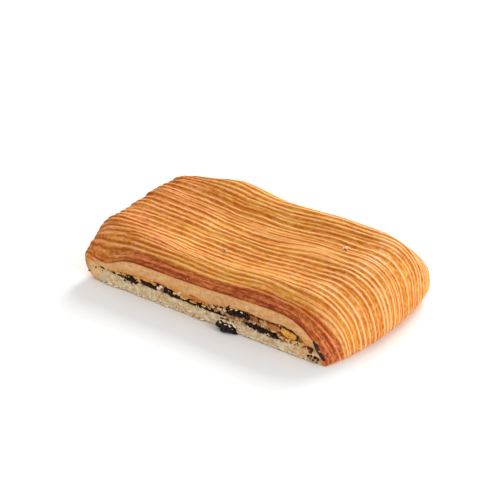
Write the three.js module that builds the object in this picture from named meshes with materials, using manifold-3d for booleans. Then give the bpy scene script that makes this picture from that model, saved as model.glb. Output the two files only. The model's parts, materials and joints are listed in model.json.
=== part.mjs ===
// Pain suisse: one laminated sheet wrapped into a flattened sleeve round pastry cream and chocolate.
// Millimetres, +Z up. X runs along the ridges, the cut face with the filling looks to -Y.
import * as THREE from 'three';
import { mergeVertices } from 'three/addons/utils/BufferGeometryUtils.js';
import Module from 'manifold-3d';

const wasm = await Module();
wasm.setup();

// ---- overall sizes -------------------------------------------------------------------------
const HALF_LENGTH = 70;
const HALF_WIDTH = 38.9;
const CLEARANCE = 0.3;

// Section across the middle, as crest heights over the depth fraction from the cut face (-1) to the back (1).
const SECTION_T = [-1, -0.8, -0.45, 0, 0.45, 0.8, 1];
const SECTION_Z = [15.9, 21.9, 20.6, 23.2, 24.4, 26.3, 22.4];

// The top sags along its middle and lifts towards both ends.
const SAG = { x: -24, liftLeft: 6.6, liftRight: 8.3, powerLeft: 1, powerRight: 1.2, spread: 0.82, flat: 6 };

// Puffed and sunken places: middle, rise and reach, lengthwise in millimetres and across as a depth fraction.
const PUFFS = [
  { x: -34, t: 0.85, rise: 5.5, reachX: 20, reachT: 0.28 },
  { x: 27, t: 0.8, rise: 3.8, reachX: 40, reachT: 0.28 },
  { x: -58, t: -1, rise: -5.5, reachX: 10.5, reachT: 0.14 },
  { x: 39, t: -1, rise: 1.9, reachX: 32, reachT: 0.14 },
];

// Plan outline of the two folded ends.
const RIGHT_BULGE = 4.6;
const RIGHT_CORNER_DRAW = 1.6;
const RIGHT_CORNER_START = -0.4;
const RIGHT_CORNER_POWER = 1.5;
const FRONT_CORNER_DRAW = 1.8;
const FRONT_CORNER_START = -0.75;
const LEFT_CORNER_DRAW = 2.4;

// Roll-over of the ends: how far in it starts, how full it is and how high the outermost line lies.
const RIGHT_ROLL = { front: 26.9, back: 21.9, power: 2.2, fullFront: 1.0, fullBack: 3.0 };
const LEFT_ROLL = { length: 10.1, power: 2, full: 4 };
const RIGHT_NOSE_HEIGHT = { front: 2.3, back: 8.3 };
const LEFT_NOSE_HEIGHT = { front: 9.5, back: 14 };
const RIGHT_TUCK = { front: 2.5, back: 8 };
const LEFT_TUCK = 10;

// ---- ridges: the edges of the lamination, in bands of even pitch from the cut face to the back ---
const FIRST_CREST = -36.6;
const RIDGE_BANDS = [
  { pitch: 1.8, count: 2 },
  { pitch: 3.3, count: 7 },
  { pitch: 2.0, count: 4 },
  { pitch: 4.3, count: 3 },
  { pitch: 3.1, count: 3 },
  { pitch: 2.45, count: 7 },
];
const PITCH_SCATTER = 0.25;
const RIDGE_DEPTH = 0.62;
const RIDGE_DEPTH_SPREAD = 0.25;
const NARROW_PITCH = 2.1;
const TROUGH_NEAR = { at: 0.3, depth: 1 };
const TROUGH_FAR = { at: 0.74, depth: 0.78 };
const TROUGH_SINGLE = { at: 0.5, depth: 0.75 };
const WAVE_LENGTHS = [31, 17];
const LEAN_START = -32;
const LEAN_REACH = 38;
const LEAN_AMOUNT = 11;
const LEAN_POWER = 1.6;

// ---- opening for the filling, read along the cut face ---------------------------------------
const OPENING_LEFT = -53;
const OPENING_RIGHT = 58.5;
const ROOF_X = [-54, -44, -34, -22, -12, -4, 6, 14, 26, 38, 50, 54, 59];
const ROOF_Z = [7.3, 8.7, 9.6, 9.9, 8.7, 8.4, 9.1, 10.4, 12.1, 11.7, 11.5, 9.9, 6.6];
const FLOOR_X = [-54, -34, -18, 0, 24, 34, 46, 59];
const FLOOR_Z = [6.6, 6.1, 6.2, 5.8, 5.8, 4.5, 4.6, 5.8];
const OPENING_SWELL = 0.45;
const MOUTH_RECESS = 0.45;

// ---- filling --------------------------------------------------------------------------------
const CHOCOLATE_X = [-52, -44, -37, -30, -20, -10, 4, 20, 33, 40, 44];
const CHOCOLATE_DEPTH = [0.7, 1.4, 1.8, 3.1, 1.6, 0.9, 0.8, 0.9, 2.8, 2.6, 1.0];
const CHOCOLATE_LEFT = -50;
const CHOCOLATE_RIGHT = 43.5;
const CREAM_LEFT = -23;
const CREAM_RIGHT = 56;
const THINNEST = 0.5;
const FILLING_STEP = 2.6;
const CAP_BULGE = 0.35;

// Loose bits of chocolate: centre, half sizes and turn about Y in degrees.
const LUMP = { at: [15.2, -HALF_WIDTH - 1.0, 2.15], half: [5.6, 3.1, 2.0], turn: 0, seed: 11, rough: 0.16 };
const CHIP = { at: [20.8, -HALF_WIDTH + 1.6, 9.6], half: [5.0, 3.0, 1.5], turn: -8, seed: 23, rough: 0.2 };
const STREAK = { at: [63.6, -HALF_WIDTH + 1.4, 5.6], half: [4.9, 2.4, 0.8], turn: 51, seed: 37, rough: 0.1 };
const BIT_DETAIL = 2;

// ---- mesh density ---------------------------------------------------------------------------
const TOP_COLUMNS = 36;
const UNDER_COLUMNS = 20;
const DEPTH_STATIONS = [-1, -0.66, -0.33, 0, 0.33, 0.66, 1];
const FACE_ROWS = [{ share: 0.14, out: 0.25 }, { share: 0.55, out: 0.05 }];
const FACE_SCATTER = 0.12;

const clamp = (value, low, high) => Math.min(high, Math.max(low, value));
const mix = (a, b, share) => a + (b - a) * share;

/** Natural cubic spline through the given points, held constant outside them. */
function spline(xs, ys) {
  const n = xs.length;
  const second = new Array(n).fill(0);
  const work = new Array(n).fill(0);
  for (let i = 1; i < n - 1; i += 1) {
    const ratio = (xs[i] - xs[i - 1]) / (xs[i + 1] - xs[i - 1]);
    const pivot = ratio * second[i - 1] + 2;
    const slopes = (ys[i + 1] - ys[i]) / (xs[i + 1] - xs[i]) - (ys[i] - ys[i - 1]) / (xs[i] - xs[i - 1]);
    second[i] = (ratio - 1) / pivot;
    work[i] = ((6 * slopes) / (xs[i + 1] - xs[i - 1]) - ratio * work[i - 1]) / pivot;
  }
  for (let i = n - 2; i >= 0; i -= 1) {
    second[i] = second[i] * second[i + 1] + work[i];
  }
  return (x) => {
    const v = clamp(x, xs[0], xs[n - 1]);
    let k = 0;
    while (k < n - 2 && v > xs[k + 1]) k += 1;
    const h = xs[k + 1] - xs[k];
    const a = (xs[k + 1] - v) / h;
    const b = 1 - a;
    const bend = ((a ** 3 - a) * second[k] + (b ** 3 - b) * second[k + 1]) * (h * h) / 6;
    return a * ys[k] + b * ys[k + 1] + bend;
  };
}

/** Repeatable scatter between -1 and 1 for a pair of whole numbers. */
function scatter(i, j) {
  let h = (i * 374761393 + j * 668265263) | 0;
  h = Math.imul(h ^ (h >>> 13), 1274126177);
  return ((h ^ (h >>> 16)) >>> 0) / 2147483648 - 1;
}

const sectionHeight = spline(SECTION_T, SECTION_Z);
const roofAtFace = spline(ROOF_X, ROOF_Z);
const floorOf = spline(FLOOR_X, FLOOR_Z);
const chocolateDepth = spline(CHOCOLATE_X, CHOCOLATE_DEPTH);

/** Crest surface height of the body before the ends roll over. */
function bodyHeight(x, t) {
  const leftReach = clamp((SAG.x - x) / (HALF_LENGTH + SAG.x), 0, 2);
  const rightReach = clamp((x - SAG.x) / (HALF_LENGTH - SAG.x), 0, 2);
  const lift = SAG.liftLeft * leftReach ** SAG.powerLeft + SAG.liftRight * rightReach ** SAG.powerRight;
  const across = clamp(1 - Math.abs(t / SAG.spread) ** SAG.flat, 0, 1);
  const puff = PUFFS.reduce((sum, p) => (
    sum + p.rise * Math.exp(-(((x - p.x) / p.reachX) ** 2) - ((t - p.t) / p.reachT) ** 2)
  ), 0);
  return sectionHeight(t) + lift * across + puff;
}

/** Crest lines, where they cross the middle of the length. */
function crestLines() {
  const crests = [FIRST_CREST];
  for (const band of RIDGE_BANDS) {
    for (let i = 0; i < band.count; i += 1) crests.push(crests[crests.length - 1] + band.pitch);
  }
  return crests.map((crest, k) => crest + PITCH_SCATTER * scatter(k, 4));
}

/** Ends of the body in plan for a depth fraction. */
function planEnds(t) {
  const back = clamp((t - RIGHT_CORNER_START) / (1 - RIGHT_CORNER_START), 0, 1);
  const front = clamp((FRONT_CORNER_START - t) / (1 + FRONT_CORNER_START), 0, 1);
  const right = HALF_LENGTH + RIGHT_BULGE * (1 - t * t)
    - RIGHT_CORNER_DRAW * back ** RIGHT_CORNER_POWER - FRONT_CORNER_DRAW * front ** 2;
  const left = -HALF_LENGTH + LEFT_CORNER_DRAW * clamp(t, 0, 1) ** 3;
  return { left, right };
}

/** Height of the line where upper side and underside meet round the ends. */
function noseHeight(x, t, ends) {
  const share = clamp((x - ends.left) / (ends.right - ends.left), 0, 1);
  const depth = (t + 1) / 2;
  const right = mix(RIGHT_NOSE_HEIGHT.front, RIGHT_NOSE_HEIGHT.back, depth);
  const left = mix(LEFT_NOSE_HEIGHT.front, LEFT_NOSE_HEIGHT.back, Math.sqrt(depth));
  return mix(left, right, share);
}

/** Upper side with the rolled ends. */
function topHeight(x, t, ends) {
  const depth = (t + 1) / 2;
  const rightRoll = mix(RIGHT_ROLL.front, RIGHT_ROLL.back, depth);
  const rightFull = mix(RIGHT_ROLL.fullFront, RIGHT_ROLL.fullBack, depth);
  const a = clamp((x - ends.right + rightRoll) / rightRoll, 0, 1);
  const b = clamp((ends.left + LEFT_ROLL.length - x) / LEFT_ROLL.length, 0, 1);
  const right = Math.max(1 - a ** RIGHT_ROLL.power, 0) ** (1 / rightFull);
  const left = Math.max(1 - b ** LEFT_ROLL.power, 0) ** (1 / LEFT_ROLL.full);
  const nose = noseHeight(x, t, ends);
  return nose + (bodyHeight(x, t) - nose) * right * left;
}

/** Underside: flat, turned up at both ends. */
function underHeight(x, t, ends) {
  const tuck = mix(RIGHT_TUCK.front, RIGHT_TUCK.back, (t + 1) / 2);
  const a = clamp((x - ends.right + tuck) / tuck, 0, 1);
  const b = clamp((ends.left + LEFT_TUCK - x) / LEFT_TUCK, 0, 1);
  const rise = 1 - Math.sqrt(Math.max(1 - a * a, 0)) * Math.sqrt(Math.max(1 - b * b, 0));
  return noseHeight(x, t, ends) * rise;
}

/** Station k round the length section: 0 at the left nose, over the top, back underneath. */
function columnShare(k) {
  if (k <= TOP_COLUMNS) return { share: k / TOP_COLUMNS, top: true };
  return { share: 1 - (k - TOP_COLUMNS) / UNDER_COLUMNS, top: false };
}

const between = (low, high, share) => (low + high) / 2 - ((high - low) / 2) * Math.cos(Math.PI * share);

/** Sideways lean of the ridges towards the cut face near the left end. */
function lean(x, y) {
  const reach = clamp((LEAN_START - x) / LEAN_REACH, 0, 1);
  const centred = 1 - Math.abs(y / HALF_WIDTH) ** 3;
  return -LEAN_AMOUNT * reach ** LEAN_POWER * centred;
}

/** Point of the outer skin, sunk by a depth measured square to the length section. */
function skinPoint(share, top, y, sink) {
  const ends = planEnds(y / HALF_WIDTH);
  const x = between(ends.left, ends.right, share);
  const yy = y + lean(x, y);
  const t = clamp(yy / HALF_WIDTH, -1, 1);
  const height = (at) => {
    const px = between(ends.left, ends.right, at);
    return top ? topHeight(px, t, ends) : underHeight(px, t, ends);
  };
  const z = height(share);
  if (sink === 0) return [x, yy, z];
  const step = 0.004;
  const lo = clamp(share - step, 0, 1);
  const hi = clamp(share + step, 0, 1);
  const dx = between(ends.left, ends.right, hi) - between(ends.left, ends.right, lo);
  const dz = height(hi) - height(lo);
  const size = Math.hypot(dx, dz);
  const nose = noseHeight(x, t, ends);
  const grip = top ? 1 : clamp(z / nose, 0, 1);
  const side = top ? 1 : -1;
  return [x + (side * dz / size) * sink * grip, yy, z - (side * dx / size) * sink * grip];
}

/** Rows across the skin from the cut face to the back: where they lie and how deep they sink. */
function skinRows() {
  const rows = [{ y: -HALF_WIDTH, depth: 0, ridge: 0 }];
  const crests = crestLines();
  crests.forEach((crest, k) => {
    rows.push({ y: crest, depth: 0, ridge: k });
    const next = k + 1 < crests.length ? crests[k + 1] : HALF_WIDTH;
    const pitch = next - crest;
    const troughs = pitch < NARROW_PITCH ? [TROUGH_SINGLE] : [TROUGH_NEAR, TROUGH_FAR];
    for (const trough of troughs) {
      rows.push({ y: crest + pitch * trough.at, depth: trough.depth * RIDGE_DEPTH, ridge: k });
    }
  });
  rows.push({ y: HALF_WIDTH, depth: 0, ridge: crests.length });
  return rows;
}

/** Depth of a trough at a place along it, so that no two ridges run alike. */
function troughDepth(row, x) {
  const first = Math.sin((x / WAVE_LENGTHS[0]) * 2 * Math.PI + scatter(row.ridge, 1) * Math.PI);
  const second = Math.sin((x / WAVE_LENGTHS[1]) * 2 * Math.PI + scatter(row.ridge, 2) * Math.PI);
  const change = (first + second) / 2 + scatter(row.ridge, 3);
  return row.depth * (1 + RIDGE_DEPTH_SPREAD * change);
}

/** Roof of the opening, lifted towards the middle of the width. */
function roofOf(x, t) {
  const floor = floorOf(x);
  return floor + (roofAtFace(x) - floor) * (1 + OPENING_SWELL * (1 - t * t));
}

/** Point on the wall of the opening. */
function openingPoint(share, top, y) {
  const t = clamp(y / HALF_WIDTH, -1, 1);
  const x = between(OPENING_LEFT, OPENING_RIGHT, share);
  const low = floorOf(x);
  const high = roofOf(x, t);
  const atEnd = share === 0 || share === 1;
  const z = atEnd ? (low + high) / 2 : (top ? high : low);
  return [x, y, z];
}

/** The dough: rows of closed loops that go over the skin, down a cut face and back through the opening. */
function doughGeometry() {
  const columns = TOP_COLUMNS + UNDER_COLUMNS;
  const loops = [];
  const addLoop = (pointAt) => {
    const loop = [];
    for (let k = 0; k < columns; k += 1) {
      const { share, top } = columnShare(k);
      loop.push(pointAt(share, top, k));
    }
    loops.push(loop);
    return loop;
  };
  for (const row of skinRows()) {
    addLoop((share, top) => {
      const ends = planEnds(row.y / HALF_WIDTH);
      const x = between(ends.left, ends.right, share);
      return skinPoint(share, top, row.y, troughDepth(row, x));
    });
  }
  const frontSkin = loops[0];
  const backSkin = loops[loops.length - 1];
  const mouthDepth = HALF_WIDTH - MOUTH_RECESS;
  const mouth = (side) => (share, top) => openingPoint(share, top, side * mouthDepth);
  const faceRow = (skin, side, row) => (share, top, k) => {
    const inner = mouth(side)(share, top);
    const outer = skin[k];
    const out = row.out + FACE_SCATTER * scatter(k, side + 5);
    const x = mix(outer[0], inner[0], row.share);
    const z = mix(outer[2], inner[2], row.share);
    return [x, side * (HALF_WIDTH + out), z];
  };
  for (const row of FACE_ROWS) addLoop(faceRow(backSkin, 1, row));
  addLoop(mouth(1));
  for (const t of DEPTH_STATIONS.slice(1, -1).reverse()) {
    addLoop((share, top) => openingPoint(share, top, t * mouthDepth));
  }
  addLoop(mouth(-1));
  for (const row of [...FACE_ROWS].reverse()) addLoop(faceRow(frontSkin, -1, row));
  return closedGrid(loops);
}

/** Geometry of a grid of points closed in both directions. */
function closedGrid(loops) {
  const rows = loops.length;
  const columns = loops[0].length;
  const index = [];
  for (let i = 0; i < rows; i += 1) {
    const next = (i + 1) % rows;
    for (let k = 0; k < columns; k += 1) {
      const beside = (k + 1) % columns;
      const a = i * columns + k;
      const b = next * columns + k;
      const c = next * columns + beside;
      const d = i * columns + beside;
      index.push(a, c, b, a, d, c);
    }
  }
  return indexed(loops.flat(), index);
}

function indexed(points, index) {
  const geometry = new THREE.BufferGeometry();
  geometry.setAttribute('position', new THREE.Float32BufferAttribute(points.flat(), 3));
  geometry.setIndex(index);
  return geometry;
}

/** A layer that runs through from cut face to cut face between a lower and an upper height. */
function throughLayer(left, right, lowOf, highOf, seed) {
  const count = Math.round((right - left) / FILLING_STEP);
  const stations = Array.from({ length: count + 1 }, (_, i) => mix(left, right, i / count));
  const depth = HALF_WIDTH - MOUTH_RECESS;
  const points = [];
  const ring = 2 * stations.length;
  for (const t of DEPTH_STATIONS) {
    for (const x of stations) points.push([x, t * depth, highOf(x, t * depth / HALF_WIDTH)]);
    for (const x of [...stations].reverse()) points.push([x, t * depth, lowOf(x, t * depth / HALF_WIDTH)]);
  }
  const index = [];
  for (let i = 0; i + 1 < DEPTH_STATIONS.length; i += 1) {
    for (let k = 0; k < ring; k += 1) {
      const beside = (k + 1) % ring;
      const a = i * ring + k;
      const b = (i + 1) * ring + k;
      index.push(a, (i + 1) * ring + beside, b, a, i * ring + beside, (i + 1) * ring + beside);
    }
  }
  for (const side of [-1, 1]) {
    const base = side < 0 ? 0 : (DEPTH_STATIONS.length - 1) * ring;
    const middle = points.length;
    stations.forEach((x, i) => {
      const t = (side * depth) / HALF_WIDTH;
      const out = CAP_BULGE * scatter(i, seed + side);
      points.push([x, side * (depth + out), (highOf(x, t) + lowOf(x, t)) / 2]);
    });
    const strip = (p, q, r, s) => {
      if (side < 0) index.push(p, q, r, p, r, s);
      else index.push(p, r, q, p, s, r);
    };
    for (let i = 0; i + 1 < stations.length; i += 1) {
      const low = base + ring - 1 - i;
      strip(middle + i, middle + i + 1, base + i + 1, base + i);
      strip(low, low - 1, middle + i + 1, middle + i);
    }
    const low = base + ring - 1;
    const lastLow = base + stations.length;
    const lastHigh = lastLow - 1;
    if (side < 0) index.push(low, middle, base, middle + count, lastLow, lastHigh);
    else index.push(low, base, middle, middle + count, lastHigh, lastLow);
  }
  return indexed(points, index);
}

/** A bit of broken chocolate, grown by a margin when it serves to cut its pocket. */
function bitGeometry(bit, margin) {
  const source = new THREE.IcosahedronGeometry(1, BIT_DETAIL);
  source.deleteAttribute('uv');
  source.deleteAttribute('normal');
  const geometry = mergeVertices(source, 1e-4);
  const position = geometry.getAttribute('position');
  const turn = new THREE.Matrix4().makeRotationY(THREE.MathUtils.degToRad(bit.turn));
  const p = new THREE.Vector3();
  for (let i = 0; i < position.count; i += 1) {
    p.fromBufferAttribute(position, i);
    const broad = Math.sin(5 * p.x + bit.seed) * Math.cos(4 * p.y - bit.seed);
    const ripple = broad + Math.sin(6 * p.z + 2 * bit.seed);
    const size = 1 + (bit.rough * ripple) / 2;
    p.set(
      p.x * (bit.half[0] * size + margin),
      p.y * (bit.half[1] * size + margin),
      p.z * (bit.half[2] * size + margin),
    );
    p.applyMatrix4(turn);
    position.setXYZ(i, p.x + bit.at[0], p.y + bit.at[1], p.z + bit.at[2]);
  }
  return geometry;
}

function toSolid(geometry) {
  const merged = mergeVertices(geometry, 1e-4);
  return new wasm.Manifold(new wasm.Mesh({
    numProp: 3,
    vertProperties: new Float32Array(merged.getAttribute('position').array),
    triVerts: new Uint32Array(merged.index.array),
  }));
}

function toGeometry(solid) {
  const mesh = solid.getMesh();
  const points = [];
  for (let i = 0; i < mesh.vertProperties.length; i += mesh.numProp) {
    points.push(Array.from(mesh.vertProperties.slice(i, i + 3)));
  }
  return indexed(points, Array.from(mesh.triVerts));
}

function node(name, geometry, colour, roughness) {
  const material = new THREE.MeshStandardMaterial({ color: colour, roughness, metalness: 0 });
  geometry.computeVertexNormals();
  const mesh = new THREE.Mesh(geometry, material);
  mesh.name = name;
  return mesh;
}

const chocolateTop = (x, t) => {
  const room = roofOf(x, t) - floorOf(x) - 2 * CLEARANCE;
  return floorOf(x) + CLEARANCE + clamp(chocolateDepth(x), THINNEST, Math.max(THINNEST, room));
};
const creamLow = (x, t) => (x > CHOCOLATE_RIGHT + 1 ? floorOf(x) : chocolateTop(x, t)) + CLEARANCE;
const creamHigh = (x, t) => Math.max(roofOf(x, t) - CLEARANCE, creamLow(x, t) + THINNEST);

const bits = [LUMP, CHIP, STREAK];
const pockets = bits.map((bit) => toSolid(bitGeometry(bit, CLEARANCE)));

let dough = toSolid(doughGeometry());
let cream = toSolid(throughLayer(CREAM_LEFT, CREAM_RIGHT, creamLow, creamHigh, 40));
const chocolate = toSolid(throughLayer(
  CHOCOLATE_LEFT, CHOCOLATE_RIGHT, (x) => floorOf(x) + CLEARANCE, chocolateTop, 60,
));
for (const pocket of pockets) {
  dough = dough.subtract(pocket);
  cream = cream.subtract(pocket);
}

const part = new THREE.Group();
part.name = 'pain_suisse';
part.add(
  node('dough', toGeometry(dough), 0xdf9953, 0.55),
  node('pastry_cream', toGeometry(cream), 0xd9a04a, 0.45),
  node('chocolate', toGeometry(chocolate), 0x3a2013, 0.4),
  node('chocolate_lump', bitGeometry(LUMP, 0), 0x34190f, 0.4),
  node('chocolate_chip', bitGeometry(CHIP, 0), 0x3a2013, 0.4),
  node('chocolate_streak', bitGeometry(STREAK, 0), 0x34190f, 0.4),
);

// Rest the part on the ground plane with its box centred on the origin.
const box = new THREE.Box3().setFromObject(part);
const centre = box.getCenter(new THREE.Vector3());
for (const mesh of part.children) {
  mesh.geometry.translate(-centre.x, -centre.y, -box.min.z);
}

export default part;
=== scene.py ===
"""Pain suisse: one sheet of laminated dough wrapped into a flattened sleeve round pastry cream and chocolate.

The ridges are the edges of the lamination and run along X. The cut side with the filling looks to -Y.
Shapes are worked out in millimetres from the middle of the sleeve and set on the part's origin at the end.
"""
from __future__ import annotations

import json
import logging
import math
from dataclasses import dataclass, field, replace
from enum import Enum
from typing import Callable, Iterator, Sequence

import bmesh
import bpy
import numpy as np
from mathutils import Matrix, Vector

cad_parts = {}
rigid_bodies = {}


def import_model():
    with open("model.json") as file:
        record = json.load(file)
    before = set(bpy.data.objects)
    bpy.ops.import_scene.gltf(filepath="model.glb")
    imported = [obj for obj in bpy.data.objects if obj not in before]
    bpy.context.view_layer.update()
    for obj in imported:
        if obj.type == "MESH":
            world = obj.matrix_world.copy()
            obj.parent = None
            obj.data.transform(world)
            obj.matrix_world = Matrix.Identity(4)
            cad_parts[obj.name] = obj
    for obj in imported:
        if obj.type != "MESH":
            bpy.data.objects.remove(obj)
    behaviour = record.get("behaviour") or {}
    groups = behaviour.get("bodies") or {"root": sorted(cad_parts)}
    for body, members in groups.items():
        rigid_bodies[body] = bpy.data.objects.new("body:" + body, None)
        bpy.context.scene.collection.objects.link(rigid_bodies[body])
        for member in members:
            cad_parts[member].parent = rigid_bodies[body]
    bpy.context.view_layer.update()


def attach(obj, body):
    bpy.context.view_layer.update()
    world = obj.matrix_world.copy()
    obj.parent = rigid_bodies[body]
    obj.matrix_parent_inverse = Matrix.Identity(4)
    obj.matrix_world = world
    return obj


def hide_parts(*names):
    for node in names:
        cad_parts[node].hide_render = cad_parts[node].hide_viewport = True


Array = np.ndarray
Triple = tuple[float, float, float]
Colour = tuple[float, float, float, float]
Curve = Callable[[Array], Array]
Surface = Callable[[Array, Array], Array]
Mesh = bmesh.types.BMesh
Material = bpy.types.Material
Piece = bpy.types.Object
Socket = bpy.types.NodeSocket
Inputs = dict[str | int, Socket | float | tuple[float, ...]]

LOG = logging.getLogger("pain_suisse")
MM = 0.001

# From the middle of the sleeve to the middle of its box, because the right end bulges and a lump sticks out.
ORIGIN_SHIFT = (-2.198, 1.927, 0.0)

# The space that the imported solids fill, from the middle of the sleeve. Nothing sticks out of it.
LOWEST = (-69.99, -43.1, 0.01)
HIGHEST = (74.38, 39.25, 32.95)


class Side(Enum):
    """The two cut sides of the sleeve, as the sign of Y."""

    SHOWN = -1
    BACK = 1

    def face(self, half_width: float) -> float:
        """How far from the middle its crumb lies: the back one keeps clear of the box."""
        return half_width - (0.6 if self is Side.BACK else 0.0)


class Layer(Enum):
    """The two layers of dough that a cut side shows."""

    UPPER = 0
    LOWER = 1


# ---- small mathematics ------------------------------------------------------------------------


def smooth(low: float, high: float, value: Array) -> Array:
    """Eased step from 0 at low to 1 at high."""
    share = np.clip((value - low) / (high - low), 0.0, 1.0)
    return share * share * (3.0 - 2.0 * share)


def mix(first: Array, second: Array, share: Array) -> Array:
    """Straight blend from first to second."""
    return first + (second - first) * share


def bunched(low: Array, high: Array, share: Array) -> Array:
    """Places between two ends, closer together near them."""
    return (low + high) / 2 - (high - low) / 2 * np.cos(math.pi * share)


def hump(distance: Array, reach: Array | float) -> Array:
    """Rounded hump: 1 in its middle and next to nothing at twice its reach."""
    return np.exp(-((distance / reach) ** 2))


def scatter(i: Array, j: Array) -> Array:
    """Repeatable scatter for pairs of whole numbers.

    Args:
        i: First number of each pair.
        j: Second number of each pair.

    Returns:
        Values between -1 and 1.
    """
    h = (np.asarray(i, np.int64) * 374761393 + np.asarray(j, np.int64) * 668265263) & 0xFFFFFFFF
    h = ((h ^ (h >> 13)) * 1274126177) & 0xFFFFFFFF
    return (h ^ (h >> 16)) / 2147483648.0 - 1.0


def ripple(x: Array, y: Array, seed: int) -> Array:
    """Smooth repeatable waviness with features about one unit wide.

    Args:
        x: First coordinate, already divided by the size of a feature.
        y: Second coordinate, likewise.
        seed: Whole number that picks one of many patterns.

    Returns:
        Values between -1 and 1.
    """
    x, y = np.broadcast_arrays(np.asarray(x, float), np.asarray(y, float))
    i, j = np.floor(x).astype(np.int64), np.floor(y).astype(np.int64)
    fx, fy = x - i, y - j
    fx, fy = fx * fx * (3 - 2 * fx), fy * fy * (3 - 2 * fy)
    shift = seed * 7919
    low = mix(scatter(i + shift, j), scatter(i + 1 + shift, j), fx)
    high = mix(scatter(i + shift, j + 1), scatter(i + 1 + shift, j + 1), fx)
    return mix(low, high, fy)


def natural_spline(xs: Sequence[float], ys: Sequence[float]) -> Curve:
    """Natural cubic spline through the given points, held constant outside them.

    Args:
        xs: Places of the points, rising.
        ys: Values at them.

    Returns:
        A function of an array of places.
    """
    px, py = np.array(xs, float), np.array(ys, float)
    n, h = len(px), np.diff(px)
    rows, right = np.eye(n), np.zeros(n)
    for i in range(1, n - 1):
        rows[i, i - 1 : i + 2] = h[i - 1], 2 * (h[i - 1] + h[i]), h[i]
        right[i] = 6 * ((py[i + 1] - py[i]) / h[i] - (py[i] - py[i - 1]) / h[i - 1])
    second = np.linalg.solve(rows, right)

    def at(x: Array) -> Array:
        """Value of the spline.

        Args:
            x: Places.

        Returns:
            The values there.
        """
        v = np.clip(x, px[0], px[-1])
        k = np.clip(np.searchsorted(px, v, side="right") - 1, 0, n - 2)
        a = (px[k + 1] - v) / h[k]
        b = 1 - a
        bend = ((a**3 - a) * second[k] + (b**3 - b) * second[k + 1]) * h[k] ** 2 / 6
        return a * py[k] + b * py[k + 1] + bend

    return at


def srgb(red: float, green: float, blue: float) -> Colour:
    """Linear colour for a screen colour given from 0 to 255."""
    shares = (red / 255, green / 255, blue / 255)
    return (*(c / 12.92 if c <= 0.04045 else ((c + 0.055) / 1.055) ** 2.4 for c in shares), 1.0)


# ---- the outer form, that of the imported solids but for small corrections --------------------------


@dataclass(frozen=True)
class Puff:
    """A puffed or sunken place: its middle, its rise and its reach along and across."""

    x: float
    t: float
    rise: float
    reach_x: float
    reach_t: float

    def lift(self, x: Array, t: Array) -> Array:
        """How far it lifts the skin at a place."""
        return self.rise * np.exp(-(((x - self.x) / self.reach_x) ** 2) - ((t - self.t) / self.reach_t) ** 2)


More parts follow.
